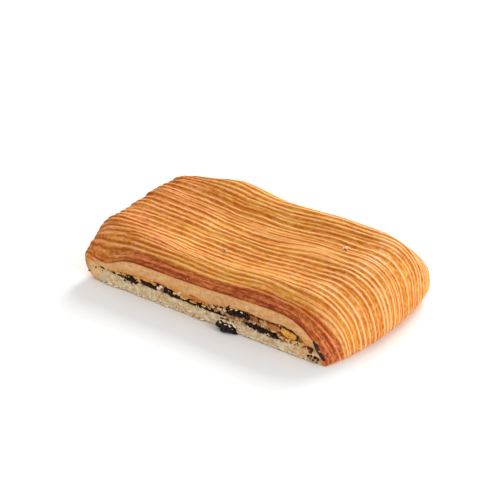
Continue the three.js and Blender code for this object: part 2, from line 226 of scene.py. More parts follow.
@dataclass(frozen=True)
class SleeveForm:
    """Crest surface, underside and plan of the sleeve, in millimetres.

    The depth fraction t runs from -1 at the shown cut side to 1 at the back one. A pair of sizes belongs to
    those two.
    """

    half_length: float = 70.0
    half_width: float = 38.9
    section: Curve = natural_spline(
        (-1, -0.8, -0.45, 0, 0.45, 0.8, 1), (15.9, 21.9, 20.6, 23.2, 24.4, 26.3, 22.4)
    )
    sag_at: float = -24.0
    lift_left: float = 6.6
    lift_right: float = 8.3
    lifted_width: float = 0.82
    puffs: tuple[Puff, ...] = (
        Puff(-34, 0.85, 5.5, 20, 0.28),
        Puff(27, 0.8, 3.8, 40, 0.28),
        Puff(-58, -1, -5.5, 10.5, 0.14),
        Puff(39, -1, 1.9, 32, 0.14),
        Puff(-66, 0.28, 1.2, 9, 0.3),
        Puff(-66, 0.85, -1.6, 8, 0.3),
        Puff(6, 0.85, 1.0, 42, 0.22),
    )
    right_bulge: float = 4.6
    right_corner_draw: float = 1.6
    right_corner_start: float = -0.4
    front_corner_draw: float = 0.4
    front_corner_start: float = -0.75
    left_corner_draw: float = 2.4
    left_nose: tuple[float, float] = (9.5, 14.0)
    right_nose: tuple[float, float] = (1.3, 8.3)
    left_roll: float = 10.1
    right_roll: tuple[float, float] = (26.9, 21.9)
    right_fullness: tuple[float, float] = (1.0, 3.0)
    left_tuck: float = 10.0
    right_tuck: tuple[float, float] = (2.5, 8.0)

    def ends(self, t: Array) -> tuple[Array, Array]:
        """Plan of the two folded ends.

        Args:
            t: Depth fraction.

        Returns:
            X of the left end and of the right end.
        """
        back = np.clip((t - self.right_corner_start) / (1 - self.right_corner_start), 0, 1)
        front = np.clip((self.front_corner_start - t) / (1 + self.front_corner_start), 0, 1)
        drawn = self.right_corner_draw * back**1.5
        right = self.half_length + self.right_bulge * (1 - t * t) - drawn - self.front_corner_draw * front**2
        left = -self.half_length + self.left_corner_draw * np.clip(t, 0, 1) ** 3
        return left, right

    def body(self, x: Array, t: Array) -> Array:
        """Crest height before the ends roll over.

        Args:
            x: Place along the length.
            t: Depth fraction.

        Returns:
            The height above the floor.
        """
        left = np.clip((self.sag_at - x) / (self.half_length + self.sag_at), 0, 2)
        right = np.clip((x - self.sag_at) / (self.half_length - self.sag_at), 0, 2)
        lift = self.lift_left * left + self.lift_right * right**1.2
        height = self.section(t) + lift * np.clip(1 - np.abs(t / self.lifted_width) ** 6, 0, 1)
        for puff in self.puffs:
            height = height + puff.lift(x, t)
        return height

    def nose(self, x: Array, t: Array, ends: tuple[Array, Array]) -> Array:
        """Height of the line where the upper side and the underside meet round the ends.

        Args:
            x: Place along the length.
            t: Depth fraction.
            ends: X of the left end and of the right end.

        Returns:
            The height, blended from end to end.
        """
        share = np.clip((x - ends[0]) / (ends[1] - ends[0]), 0, 1)
        depth = (t + 1) / 2
        return mix(mix(*self.left_nose, np.sqrt(depth)), mix(*self.right_nose, depth), share)

    def top(self, x: Array, t: Array, ends: tuple[Array, Array]) -> Array:
        """Height of the upper side with its rolled ends.

        Args:
            x: Place along the length.
            t: Depth fraction.
            ends: X of the left end and of the right end.

        Returns:
            The height above the floor.
        """
        depth = (t + 1) / 2
        roll = mix(*self.right_roll, depth)
        a = np.clip((x - ends[1] + roll) / roll, 0, 1)
        b = np.clip((ends[0] + self.left_roll - x) / self.left_roll, 0, 1)
        over_right = np.maximum(1 - a**2.2, 0) ** (1 / mix(*self.right_fullness, depth))
        over_left = np.maximum(1 - b**2, 0) ** (0.25 - 0.11 * hump(t + 0.3, 0.3))
        nose = self.nose(x, t, ends)
        return nose + (self.body(x, t) - nose) * over_right * over_left

    def under(self, x: Array, t: Array, ends: tuple[Array, Array]) -> Array:
        """Height of the underside: flat, turned up at both ends.

        Args:
            x: Place along the length.
            t: Depth fraction.
            ends: X of the left end and of the right end.

        Returns:
            The height above the floor.
        """
        tuck = mix(*self.right_tuck, (t + 1) / 2)
        a = np.clip((x - ends[1] + tuck) / tuck, 0, 1)
        b = np.clip((ends[0] + self.left_tuck - x) / self.left_tuck, 0, 1)
        rise = 1 - np.sqrt(1 - a * a) * np.sqrt(1 - b * b)
        return self.nose(x, t, ends) * rise


@dataclass(frozen=True)
class Opening:
    """The gap between the dough layers that holds the filling, read along the shown cut side."""

    left: float = -53.0
    right: float = 58.5
    roof_at_face: Curve = natural_spline(
        (-54, -44, -34, -22, -12, -4, 6, 14, 26, 38, 50, 54, 59),
        (7.3, 8.7, 9.6, 9.9, 8.7, 8.4, 9.1, 10.4, 12.1, 11.7, 11.5, 9.9, 6.6),
    )
    floor: Curve = natural_spline(
        (-54, -34, -18, 0, 24, 34, 46, 59), (6.6, 6.1, 6.2, 5.8, 5.8, 4.5, 4.6, 5.8)
    )
    swell: float = 0.45
    clearance: float = 0.3
    least_depth: float = 0.5
    chocolate_depth: Curve = natural_spline(
        (-52, -44, -37, -30, -20, -10, 4, 20, 33, 40, 44),
        (0.7, 1.4, 1.8, 3.1, 1.6, 0.9, 0.8, 0.9, 2.8, 2.6, 1.0),
    )
    chocolate_right: float = 43.5

    def roof(self, x: Array, t: Array) -> Array:
        """Roof of the opening, lifted towards the middle of the width."""
        low = self.floor(x)
        return low + (self.roof_at_face(x) - low) * (1 + self.swell * (1 - t * t))

    def chocolate_low(self, x: Array, t: Array) -> Array:
        """Underside of the chocolate."""
        return self.floor(x) + self.clearance + 0 * t

    def chocolate_high(self, x: Array, t: Array) -> Array:
        """Upper side of the chocolate.

        Args:
            x: Place along the length.
            t: Depth fraction.

        Returns:
            The height above the floor.
        """
        room = self.roof(x, t) - self.floor(x) - 2 * self.clearance
        depth = np.clip(self.chocolate_depth(x), self.least_depth, np.maximum(self.least_depth, room))
        return self.floor(x) + self.clearance + depth

    def cream_low(self, x: Array, t: Array) -> Array:
        """Underside of the pastry cream."""
        base = np.where(x > self.chocolate_right + 1, self.floor(x), self.chocolate_high(x, t))
        return base + self.clearance

    def cream_high(self, x: Array, t: Array) -> Array:
        """Upper side of the pastry cream."""
        return np.maximum(self.roof(x, t) - self.clearance, self.cream_low(x, t) + self.least_depth)


# ---- mesh making ------------------------------------------------------------------------------


@dataclass
class Sheet:
    """Points of a grid that is bent into a closed shell, with its shading values.

    In a closed direction the last row or column joins the first, and uv has one more of them than points. In
    an open one the points fold the shell shut, or its first and last column are each pinched to a point.
    """

    points: Array
    uv: Array
    values: dict[str, Array] = field(default_factory=dict)
    rows_closed: bool = True
    columns_closed: bool = True
    pinched: bool = False
    merge: float = 0.0005
    sliver: float = 0.0

    def to_object(self, name: str, material: Material) -> Piece:
        """Wraps an operator-made grid round the points and makes it an object.

        Args:
            name: Name of the piece.
            material: Its finish.

        Returns:
            The new object, closed and with its faces outward.
        """
        rows, columns = self.points.shape[:2]
        across = rows if self.rows_closed else rows - 1
        along = columns if self.columns_closed else columns - 1
        bm = bmesh.new()
        bmesh.ops.create_grid(bm, x_segments=along, y_segments=across, size=1.0)
        layers = {key: bm.verts.layers.float.new(key) for key in self.values}
        uv_layer = bm.loops.layers.uv.new("surface")
        cells = {v: (round((v.co.y + 1) / 2 * across), round((v.co.x + 1) / 2 * along)) for v in bm.verts}
        for face in bm.faces:
            for loop in face.loops:
                loop[uv_layer].uv = self.uv[cells[loop.vert]]
        for vert, (row, column) in cells.items():
            cell = row % rows, column % columns
            vert.co = self.points[cell]
            for key, layer in layers.items():
                vert[layer] = float(self.values[key][cell])
        for column in (0, along) if self.pinched else ():
            ring = [vert for vert, cell in cells.items() if cell[1] == column]
            middle = sum((vert.co for vert in ring), Vector()) / len(ring)
            bmesh.ops.pointmerge(bm, verts=ring, merge_co=middle)
        bmesh.ops.remove_doubles(bm, verts=bm.verts, dist=self.merge)
        if self.sliver:
            bmesh.ops.dissolve_degenerate(bm, dist=self.sliver, edges=bm.edges)
        return finish_mesh(bm, name, material)


def link_mesh(bm: Mesh, name: str, material: Material) -> Piece:
    """Makes an object of a mesh.

    Args:
        bm: The mesh, in metres. It is used up.
        name: Name of the object.
        material: Its finish.

    Returns:
        The new object, linked to the scene.
    """
    mesh = bpy.data.meshes.new(name)
    bm.to_mesh(mesh)
    bm.free()
    mesh.materials.append(material)
    piece = bpy.data.objects.new(name, mesh)
    bpy.context.scene.collection.objects.link(piece)
    return piece


def finish_mesh(bm: Mesh, name: str, material: Material) -> Piece:
    """Sets a mesh in millimetres on the part's origin, in metres, and dresses it.

    Args:
        bm: The mesh, closed. It is used up.
        name: Name of the piece.
        material: Its finish.

    Returns:
        The new object, linked to the scene.
    """
    for vert in bm.verts:
        vert.co = Vector(min(max(place, low), high) for place, low, high in zip(vert.co, LOWEST, HIGHEST))
    bmesh.ops.translate(bm, verts=bm.verts, vec=Vector(ORIGIN_SHIFT))
    bmesh.ops.scale(bm, verts=bm.verts, vec=Vector((MM, MM, MM)))
    bmesh.ops.recalc_face_normals(bm, faces=bm.faces)
    for face in bm.faces:
        face.smooth = True
    return link_mesh(bm, name, material)


def settle(piece: Piece, slot: str, *nodes: str) -> Piece:
    """Fixes a piece to the part and hides the solids it stands for.

    Args:
        piece: The piece.
        slot: The record's material slot. It is not used.
        *nodes: Names of the solids that it stands for.

    Returns:
        The same piece.
    """
    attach(piece, "root")
    if nodes:
        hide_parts(*nodes)
    return piece


# ---- finishes ---------------------------------------------------------------------------------


class Recipe:
    """Adds and links the shader nodes of one finish."""

    def __init__(self, name: str) -> None:
        """Starts an empty node material with a surface shader.

        Args:
            name: Name of the material.
        """
        self.material = bpy.data.materials.new(name)
        self.material.use_nodes = True
        self.tree = self.material.node_tree
        self.tree.nodes.clear()
        self.shader = self.node("BsdfPrincipled")
        self.node("OutputMaterial", {"Surface": self.shader.outputs["BSDF"]})

    def node(self, kind: str, inputs: Inputs | None = None, **settings: str | bool) -> bpy.types.ShaderNode:
        """Adds a shader node.

        Args:
            kind: Its type, without the beginning that all of them share.
            inputs: For each input an output of another node, or a constant.
            **settings: Its own settings.

        Returns:
            The node.
        """
        node = self.tree.nodes.new(f"ShaderNode{kind}")
        for key, setting in settings.items():
            setattr(node, key, setting)
        for key, source in (inputs or {}).items():
            if isinstance(source, Socket):
                self.tree.links.new(source, node.inputs[key])
            else:
                node.inputs[key].default_value = source
        return node

    def value(self, name: str) -> Socket:
        """A shading value that the mesh carries."""
        return self.node("Attribute", attribute_name=name).outputs["Fac"]

    def surface_place(self, scale: Triple) -> Socket:
        """Place on the piece's own unrolled surface, in centimetres, scaled."""
        place = self.node("UVMap", uv_map="surface").outputs["UV"]
        return self.node("Mapping", {"Vector": place, "Scale": scale}).outputs["Vector"]

    def object_place(self, scale: Triple = (1, 1, 1)) -> Socket:
        """Place on the object, in metres, scaled."""
        place = self.node("TexCoord").outputs["Object"]
        return self.node("Mapping", {"Vector": place, "Scale": scale}).outputs["Vector"]

    def noise(self, place: Socket, scale: float = 1.0, detail: float = 3.0) -> Socket:
        """Cloudy noise at a place."""
        return self.node("TexNoise", {"Vector": place, "Scale": scale, "Detail": detail}).outputs["Fac"]

    def hairlines(self, scale: Triple) -> Socket:
        """Thin wandering lines along the lamination.

        Args:
            scale: How fine they are, along and across.

        Returns:
            1 in the middle of a line and 0 beside it.
        """
        cloud = self.noise(self.surface_place(scale))
        rise = self.spread(cloud, (0.455, 0.5), (0.0, 1.0))
        fall = self.spread(cloud, (0.5, 0.545), (1.0, 0.0))
        return self.maths("MULTIPLY", rise, fall)

    def cells(self, place: Socket) -> Socket:
        """Distance to the nearest of many scattered points."""
        return self.node("TexVoronoi", {"Vector": place, "Scale": 1.0}).outputs["Distance"]

    def spread(self, source: Socket, span: tuple[float, float], onto: tuple[float, float]) -> Socket:
        """Maps a range of values onto another, clamped."""
        limits = dict(zip(("From Min", "From Max", "To Min", "To Max"), (*span, *onto)))
        return self.node("MapRange", {"Value": source, **limits}).outputs["Result"]

    def maths(self, kind: str, first: Socket, second: Socket | float) -> Socket:
        """One step of arithmetic, kept between 0 and 1 for sums."""
        clamped = kind in ("ADD", "SUBTRACT")
        return self.node("Math", {0: first, 1: second}, operation=kind, use_clamp=clamped).outputs["Value"]

    def ramp(self, source: Socket, *stops: tuple[float, Colour]) -> Socket:
        """Colour read from a row of stops.

        Args:
            source: Where along the row.
            *stops: Place and colour of each stop.

        Returns:
            The colour.
        """
        node = self.node("ValToRGB", {"Fac": source})
        elements = node.color_ramp.elements
        while len(elements) > 1:
            elements.remove(elements[-1])
        for index, (position, colour) in enumerate(stops):
            stop = elements[0] if index == 0 else elements.new(position)
            stop.position, stop.color = position, colour
        return node.outputs["Color"]

    def blend(self, share: Socket, first: Socket | Colour, second: Socket | Colour) -> Socket:
        """Mixes two colours.

        Args:
            share: Share of the second one.
            first: The first one.
            second: The second one.

        Returns:
            The mixed colour.
        """
        factor, colour_a, colour_b, mixed = 0, 6, 7, 2
        inputs = {factor: share, colour_a: first, colour_b: second}
        return self.node("Mix", inputs, data_type="RGBA").outputs[mixed]

    def bump(self, height: Socket, strength: float, distance: float) -> None:
        """Adds fine relief to the surface."""
        node = self.node("Bump", {"Height": height, "Strength": strength, "Distance": distance})
        self.tree.links.new(node.outputs["Normal"], self.shader.inputs["Normal"])

    def surface(self, colour: Socket, roughness: Socket) -> None:
        """Feeds colour and roughness to the shader."""
        self.tree.links.new(colour, self.shader.inputs["Base Color"])
        self.tree.links.new(roughness, self.shader.inputs["Roughness"])

    def gloss(self, level: float, coat: float = 0.0, coat_roughness: float = 0.3) -> None:
        """Sets how strongly the surface and its glaze reflect.

        Args:
            level: Strength of the plain reflection.
            coat: Share of glaze.
            coat_roughness: Roughness of the glaze.
        """
        self.shader.inputs["Specular IOR Level"].default_value = level
        self.shader.inputs["Coat Weight"].default_value = coat
        self.shader.inputs["Coat Roughness"].default_value = coat_roughness


@dataclass(frozen=True)
class BakedDough:
    """Glazed crust on the skin and open crumb on the cut sides, chosen by the values on the mesh."""

    trough: Colour = srgb(188, 94, 6)
    slope: Colour = srgb(218, 132, 34)
    flank: Colour = srgb(234, 158, 66)
    crest: Colour = srgb(250, 190, 124)
    gold_low: Colour = srgb(206, 122, 6)
    gold_high: Colour = srgb(250, 202, 110)
    flush_low: Colour = srgb(196, 108, 60)
    flush_high: Colour = srgb(252, 188, 150)
    fleck: Colour = srgb(255, 200, 140)
    edge_brown: Colour = srgb(134, 42, 14)
    edge_light: Colour = srgb(228, 123, 66)
    smooth_tan: Colour = srgb(220, 152, 84)
    smooth_olive: Colour = srgb(186, 124, 50)
    painted_sheen_pink: Colour = srgb(252, 194, 156)
    crumb_tan: Colour = srgb(218, 158, 94)
    crumb_pale: Colour = srgb(230, 186, 130)
    crumb_pore: Colour = srgb(120, 78, 42)
    long_grain: Triple = (1.0, 12.0, 1.0)
    fine_grain: Triple = (4.5, 13.0, 1.0)
    pale_hairs: Triple = (0.7, 9.0, 1.0)
    dark_hairs: Triple = (0.9, 7.3, 1.0)
    gold_patches: Triple = (1.6, 5.0, 1.0)
    flush_patches: Triple = (2.1, 6.3, 1.0)
    fleck_spacing: Triple = (7.0, 11.0, 1.0)

    def tone(self, r: Recipe, along: Socket, fine: Socket) -> Socket:
        """How light the crust is.

        Args:
            r: The recipe.
            along: Long grain.
            fine: Fine grain.

        Returns:
            The mesh's own tone with both grains, a cloud and the hairlines worked in.
        """
        cloud = r.noise(r.object_place(), 70.0)
        # The mesh's tone carries the painted highlight lines on the crests and the painted shade lines beside
        # them.
        tone = r.value("tone")
        tone = r.maths("ADD", tone, r.spread(along, (0.3, 0.7), (-0.26, 0.26)))
        tone = r.maths("ADD", tone, r.spread(fine, (0.3, 0.7), (-0.28, 0.28)))
        tone = r.maths("ADD", tone, r.spread(cloud, (0.35, 0.65), (-0.06, 0.06)))
        tone = r.maths("ADD", tone, r.maths("MULTIPLY", r.hairlines(self.pale_hairs), 0.18))
        return r.maths("SUBTRACT", tone, r.maths("MULTIPLY", r.hairlines(self.dark_hairs), 0.2))

    def crust(self, r: Recipe, tone: Socket) -> Socket:
        """Colour of the crust.

        Args:
            r: The recipe.
            tone: How light it is.

        Returns:
            The colour, with gold, flushed, smooth, browned and flecked places and a painted pink sheen on the
            crests at the ends.
        """
        # The light end of the ramp takes the painted highlights on the crests, and the dark end takes the
        # painted shade beside them.
        crust = r.ramp(tone, (0.0, self.trough), (0.35, self.slope), (0.65, self.flank), (1.0, self.crest))
        golden = r.spread(r.noise(r.surface_place(self.gold_patches)), (0.4, 0.6), (0.05, 0.75))
        crust = r.blend(golden, crust, r.ramp(tone, (0.0, self.gold_low), (1.0, self.gold_high)))
        flushed = r.spread(r.noise(r.surface_place(self.flush_patches)), (0.5, 0.68), (0.0, 0.42))
        crust = r.blend(flushed, crust, r.ramp(tone, (0.0, self.flush_low), (1.0, self.flush_high)))
        # Painted sheen: the light crests at both ends are blended towards pale pink.
        crust = r.blend(r.maths("MULTIPLY", r.value("painted_sheen"), 0.7), crust, self.painted_sheen_pink)
        plain = r.blend(r.value("olive"), self.smooth_tan, self.smooth_olive)
        crust = r.blend(r.maths("MULTIPLY", r.value("smoothed"), 0.6), crust, plain)
        brown = r.blend(r.spread(tone, (0.1, 0.9), (0.0, 1.0)), self.edge_brown, self.edge_light)
        crust = r.blend(r.value("bake"), crust, brown)
        dots = r.spread(r.cells(r.surface_place(self.fleck_spacing)), (0.1, 0.26), (0.4, 0.0))
        sparse = r.spread(r.noise(r.object_place(), 260.0, 2.0), (0.5, 0.62), (0.0, 1.0))
        return r.blend(r.maths("MULTIPLY", dots, sparse), crust, self.fleck)

    def build(self) -> Material:
        """Makes the material.

        Returns:
            The finish of the sleeve.
        """
        r = Recipe("baked_dough")
        along = r.noise(r.surface_place(self.long_grain), detail=4.0)
        fine = r.noise(r.surface_place(self.fine_grain))
        tone = self.tone(r, along, fine)
        grain = r.noise(r.object_place(), 900.0)
        crumb = r.blend(r.value("pale"), self.crumb_tan, self.crumb_pale)
        crumb = r.blend(r.spread(grain, (0.3, 0.5), (0.45, 0.0)), crumb, self.crumb_pore)
        colour = r.blend(r.value("cut"), self.crust(r, tone), crumb)
        r.surface(colour, r.spread(tone, (0.3, 0.9), (0.62, 0.4)))
        r.gloss(0.18)
        r.bump(r.maths("ADD", along, r.maths("MULTIPLY", fine, 0.6)), 0.3, 0.0005)
        return r.material


@dataclass(frozen=True)
class OpenCrumb:
    """Torn or sliced crumb of a dough layer."""

    name: str
    body: Colour
    light: Colour
    # Colour of the streaks, and of the painted shade in the hollows of the relief.
    pit_shade: Colour
    toast: Colour
    grain_size: float
    streaks: float

    def build(self) -> Material:
        """Makes the material.

        Returns:
            The finish of one layer's crumb.
        """
        r = Recipe(self.name)
        grain = r.noise(r.object_place(), self.grain_size, 4.0)
        streak = r.noise(r.object_place((1.0, 1.0, 5.0)), 260.0, 2.0)
        colour = r.blend(r.spread(grain, (0.35, 0.68), (0.0, 1.0)), self.body, self.light)
        colour = r.blend(r.spread(streak, (0.35, 0.5), (self.streaks, 0.0)), colour, self.pit_shade)
        colour = r.blend(r.value("toasted"), colour, self.toast)
        # Painted shade: the deepest hollows of the relief are blended towards the dark colour.
        colour = r.blend(r.value("pit_shade"), colour, self.pit_shade)
        r.surface(colour, r.spread(grain, (0.3, 0.7), (0.8, 0.6)))
        r.gloss(0.3)
        r.bump(grain, 0.5, 0.0006)
        return r.material


@dataclass(frozen=True)
class SetCream:
    """Baked pastry cream: yellow where it is thick, orange-brown where it dried, with painted shade in its
    hollows.
    """

    thick: Colour = srgb(232, 172, 62)
    dried: Colour = srgb(188, 118, 58)
    painted_hollow_shade: Colour = srgb(170, 104, 40)

    def build(self) -> Material:
        """Makes the material.

        Returns:
            The finish of the cream layer.
        """
        r = Recipe("set_cream")
        curd = r.noise(r.object_place(), 420.0)
        colour = r.blend(r.value("dry"), self.thick, self.dried)
        # Painted shade: darker where the curd relief is low.
        colour = r.blend(r.spread(curd, (0.35, 0.6), (0.6, 0.0)), colour, self.painted_hollow_shade)
        r.surface(colour, r.spread(curd, (0.3, 0.7), (0.5, 0.32)))
        r.gloss(0.5, 0.2, 0.25)
        r.bump(curd, 0.5, 0.0006)
        return r.material


@dataclass(frozen=True)
class MeltedChocolate:
    """Dark chocolate that melted and set again, dusty where crumbs cling to it."""

    name: str
    dark: Colour
    dusty: Colour

    def build(self) -> Material:
        """Makes the material.

        Returns:
            The finish of the chocolate.
        """
        r = Recipe(self.name)
        lump = r.noise(r.object_place(), 600.0, 4.0)
        colour = r.blend(r.spread(lump, (0.45, 0.75), (0.0, 0.8)), self.dark, self.dusty)
        r.surface(colour, r.spread(lump, (0.3, 0.7), (0.4, 0.7)))
        r.gloss(0.18)
        r.bump(lump, 0.6, 0.0006)
        return r.material


@dataclass(frozen=True)
class CrumbMix:
    """Crumbs and flakes whose shade runs from chocolate to pale dough, or through baked cream."""

    dough: tuple[tuple[float, Colour], ...] = (
        (0.0, srgb(26, 13, 9)),
        (0.3, srgb(98, 54, 34)),
        (0.5, srgb(166, 116, 76)),
        (0.75, srgb(222, 178, 126)),
        (1.0, srgb(252, 234, 204)),
    )
    cream: tuple[tuple[float, Colour], ...] = (
        (0.1, srgb(92, 44, 12)),
        (0.4, srgb(168, 92, 28)),
        (0.6, srgb(218, 132, 44)),
        (0.75, srgb(244, 180, 70)),
        (0.9, srgb(250, 210, 130)),
    )

    def build(self) -> Material:
        """Makes the material.

        Returns:
            The finish of every crumb and flake.
        """
        r = Recipe("crumb_mix")
        grain = r.noise(r.object_place(), 1200.0, 2.0)
        shade = r.maths("ADD", r.value("shade"), r.spread(grain, (0.3, 0.7), (-0.09, 0.09)))
        colour = r.blend(r.value("yolk"), r.ramp(shade, *self.dough), r.ramp(shade, *self.cream))
        r.surface(colour, r.spread(grain, (0.3, 0.7), (0.75, 0.5)))
        r.gloss(0.15)
        r.bump(grain, 0.3, 0.0003)
        return r.material


UPPER_CRUMB = OpenCrumb(
    "upper_crumb",
    body=srgb(222, 162, 100),
    light=srgb(242, 192, 132),
    pit_shade=srgb(160, 96, 46),
    toast=srgb(224, 144, 68),
    grain_size=500.0,
    streaks=0.3,
)
LOWER_CRUMB = OpenCrumb(
    "lower_crumb",
    body=srgb(204, 178, 130),
    light=srgb(250, 234, 202),
    pit_shade=srgb(150, 116, 70),
    toast=srgb(246, 184, 118),
    grain_size=420.0,
    streaks=0.16,
)
RUN_CHOCOLATE = MeltedChocolate("melted_chocolate", dark=srgb(34, 17, 10), dusty=srgb(112, 70, 42))
BROKEN_CHOCOLATE = MeltedChocolate("broken_chocolate", dark=srgb(22, 12, 12), dusty=srgb(74, 56, 50))


# ---- the dough --------------------------------------------------------------------------------


@dataclass(frozen=True)
class RidgeFlow:
    """How the lines of the lamination run over the sleeve, as measured on the photograph.

    A line is named by its Y near the dip left of the middle. Each stray is how far it runs off that Y at the
    stations.
    """

    stations: tuple[float, ...] = (-66, -54, -40, -24, -8, 10, 30, 50, 70)
    strays: tuple[tuple[float, tuple[float, ...]], ...] = (
        (-38.9, (0, 0, 0, 0, 0, 0, 0, 0, 0)),
        (-31, (-1.5, -0.5, -0.5, 0, -0.5, -1, 0, -1, 2.5)),
        (-24, (-6, -3, 1, 0.5, -2, -3.5, -3, -5, -1.5)),
        (-19.5, (-8.5, -6, -1.5, 0.5, -3.5, -6, -6, -7, -3)),
        (-15, (-11, -6.5, -2.5, 0, -2, -4.5, -4.5, -7, -3.5)),
        (-10, (-8, -3, -1, 0.5, -1.5, -3, -3, -4.5, -3.5)),
        (-2, (-5, -3, -1, 0, -1, -3, -3, -3.5, -2)),
        (5, (-4, -2, 0, 0.5, -2.5, -3.5, -1, -3.5, -2.5)),
        (10, (-5, -2.5, -0.5, 0.5, -1.5, -3, -2.5, -5, -3.5)),
        (15, (-6.5, -3.5, -1, 0, -1, -2.5, -3, -5.5, -5)),
        (22, (-3.5, -1, -0.5, 0, -0.5, -2, -2, -3, -0.5)),
        (30, (-1.5, -0.5, 0.5, 0, 0, 0, -1, -1.5, 3)),
        (38.9, (0, 0, 0, 0, 0, 0, 0, 0, 0)),
    )
    broad_wave: float = 0.3
    small_wave: float = 0.1

    def across(self, x: Array, line: Array) -> Array:
        """Follows a line of the lamination.

        Args:
            x: Place along the length.
            line: Name of the line.

        Returns:
            Y at which the line passes that place.
        """
        names = [name for name, _ in self.strays]
        pick = np.eye(len(names))
        y = line + 0 * x
        for share, (_, row) in zip(pick, self.strays):
            if any(row):
                y = y + np.interp(line, names, share) * natural_spline(self.stations, row)(x)
        edge = 1 - (line / names[-1]) ** 8
        broad = self.broad_wave * ripple(x / 15, line * 0.22, 3)
        return y + edge * (broad + self.small_wave * ripple(x / 6, line * 0.5, 5))


@dataclass(frozen=True)
class Crest:
    """A ridge of the lamination: its line, how far it stands out, and how patchy it is."""

    line: float
    height: float
    patchy: float = 0.3


CRESTS = tuple(
    Crest(*numbers)
    for numbers in (
        (-36.2, 0.45, 0.5), (-33.6, 0.85), (-31.5, 0.8), (-29.5, 1.0), (-27.9, 0.35, 0.8), (-26.2, 0.95),
        (-24.0, 0.5, 0.8), (-21.6, 0.85), (-18.9, 0.5, 0.8), (-16.2, 0.9), (-13.4, 0.9), (-10.6, 0.75, 0.5),
        (-7.8, 0.9), (-5.3, 0.7, 0.5), (-2.4, 0.85), (0.0, 0.85), (2.8, 0.75), (6.8, 0.95), (9.2, 0.4, 0.9),
        (11.4, 1.0), (13.5, 0.3, 0.9), (15.4, 0.95), (18.2, 1.0), (21.1, 0.85), (22.4, 0.6, 0.5), (24.2, 1.0),
        (25.9, 0.85), (28.2, 0.9), (30.6, 0.85), (32.8, 0.9), (35.3, 0.8),
    )
)


@dataclass(frozen=True)
class SmoothPatch:
    """A place between two ridges that stayed smooth: its middle, its reach and its share of olive."""

    x: float
    line: float
    reach_x: float
    reach_line: float
    olive: float

    def cover(self, x: Array, line: Array) -> Array:
        """How far a point lies in the patch, from 0 to 1."""
        return np.exp(-(((x - self.x) / self.reach_x) ** 4) - ((line - self.line) / self.reach_line) ** 4)


@dataclass(frozen=True)
class RidgeProfile:
    """A ridge across its line, in millimetres. A pair is for the side behind the crest and that before it."""

    depth: float = 0.6
    skin_under_crest: float = 0.12
    usual_gap: float = 2.6
    narrowest: float = 0.42
    widest: float = 1.15
    lip: tuple[float, float] = (0.85, 0.7)
    # light is the width of the painted highlight line on a crest; shade and shade_at are the width and offset
    # of the painted shade line beside it.
    light: tuple[float, float] = (0.4, 0.34)
    shade: tuple[float, float] = (0.4, 0.36)
    shade_at: tuple[float, float] = (0.95, 0.8)


@dataclass
class SkinGrid:
    """The skin before its ridges are cut, with a row along every crest.

    number counts the crest in front of each row from 1, top tells the upper side from the underside, inward
    points into the dough square to the length section, and grip lets the relief run out underneath.
    """

    line: Array
    number: Array
    share: Array
    top: Array
    x: Array
    y: Array
    z: Array
    inward_x: Array
    inward_z: Array
    grip: Array


@dataclass
class RidgeLines:
    """What the ridges do at each point: the raised lip, its painted highlight line and the painted shade line
    beside it.

    gap is how far apart the crests run there, thin how narrow that makes them, and room is 1 where none of
    them fades out.
    """

    lip: Array
    light: Array
    dark: Array
    gap: Array
    thin: Array
    room: Array


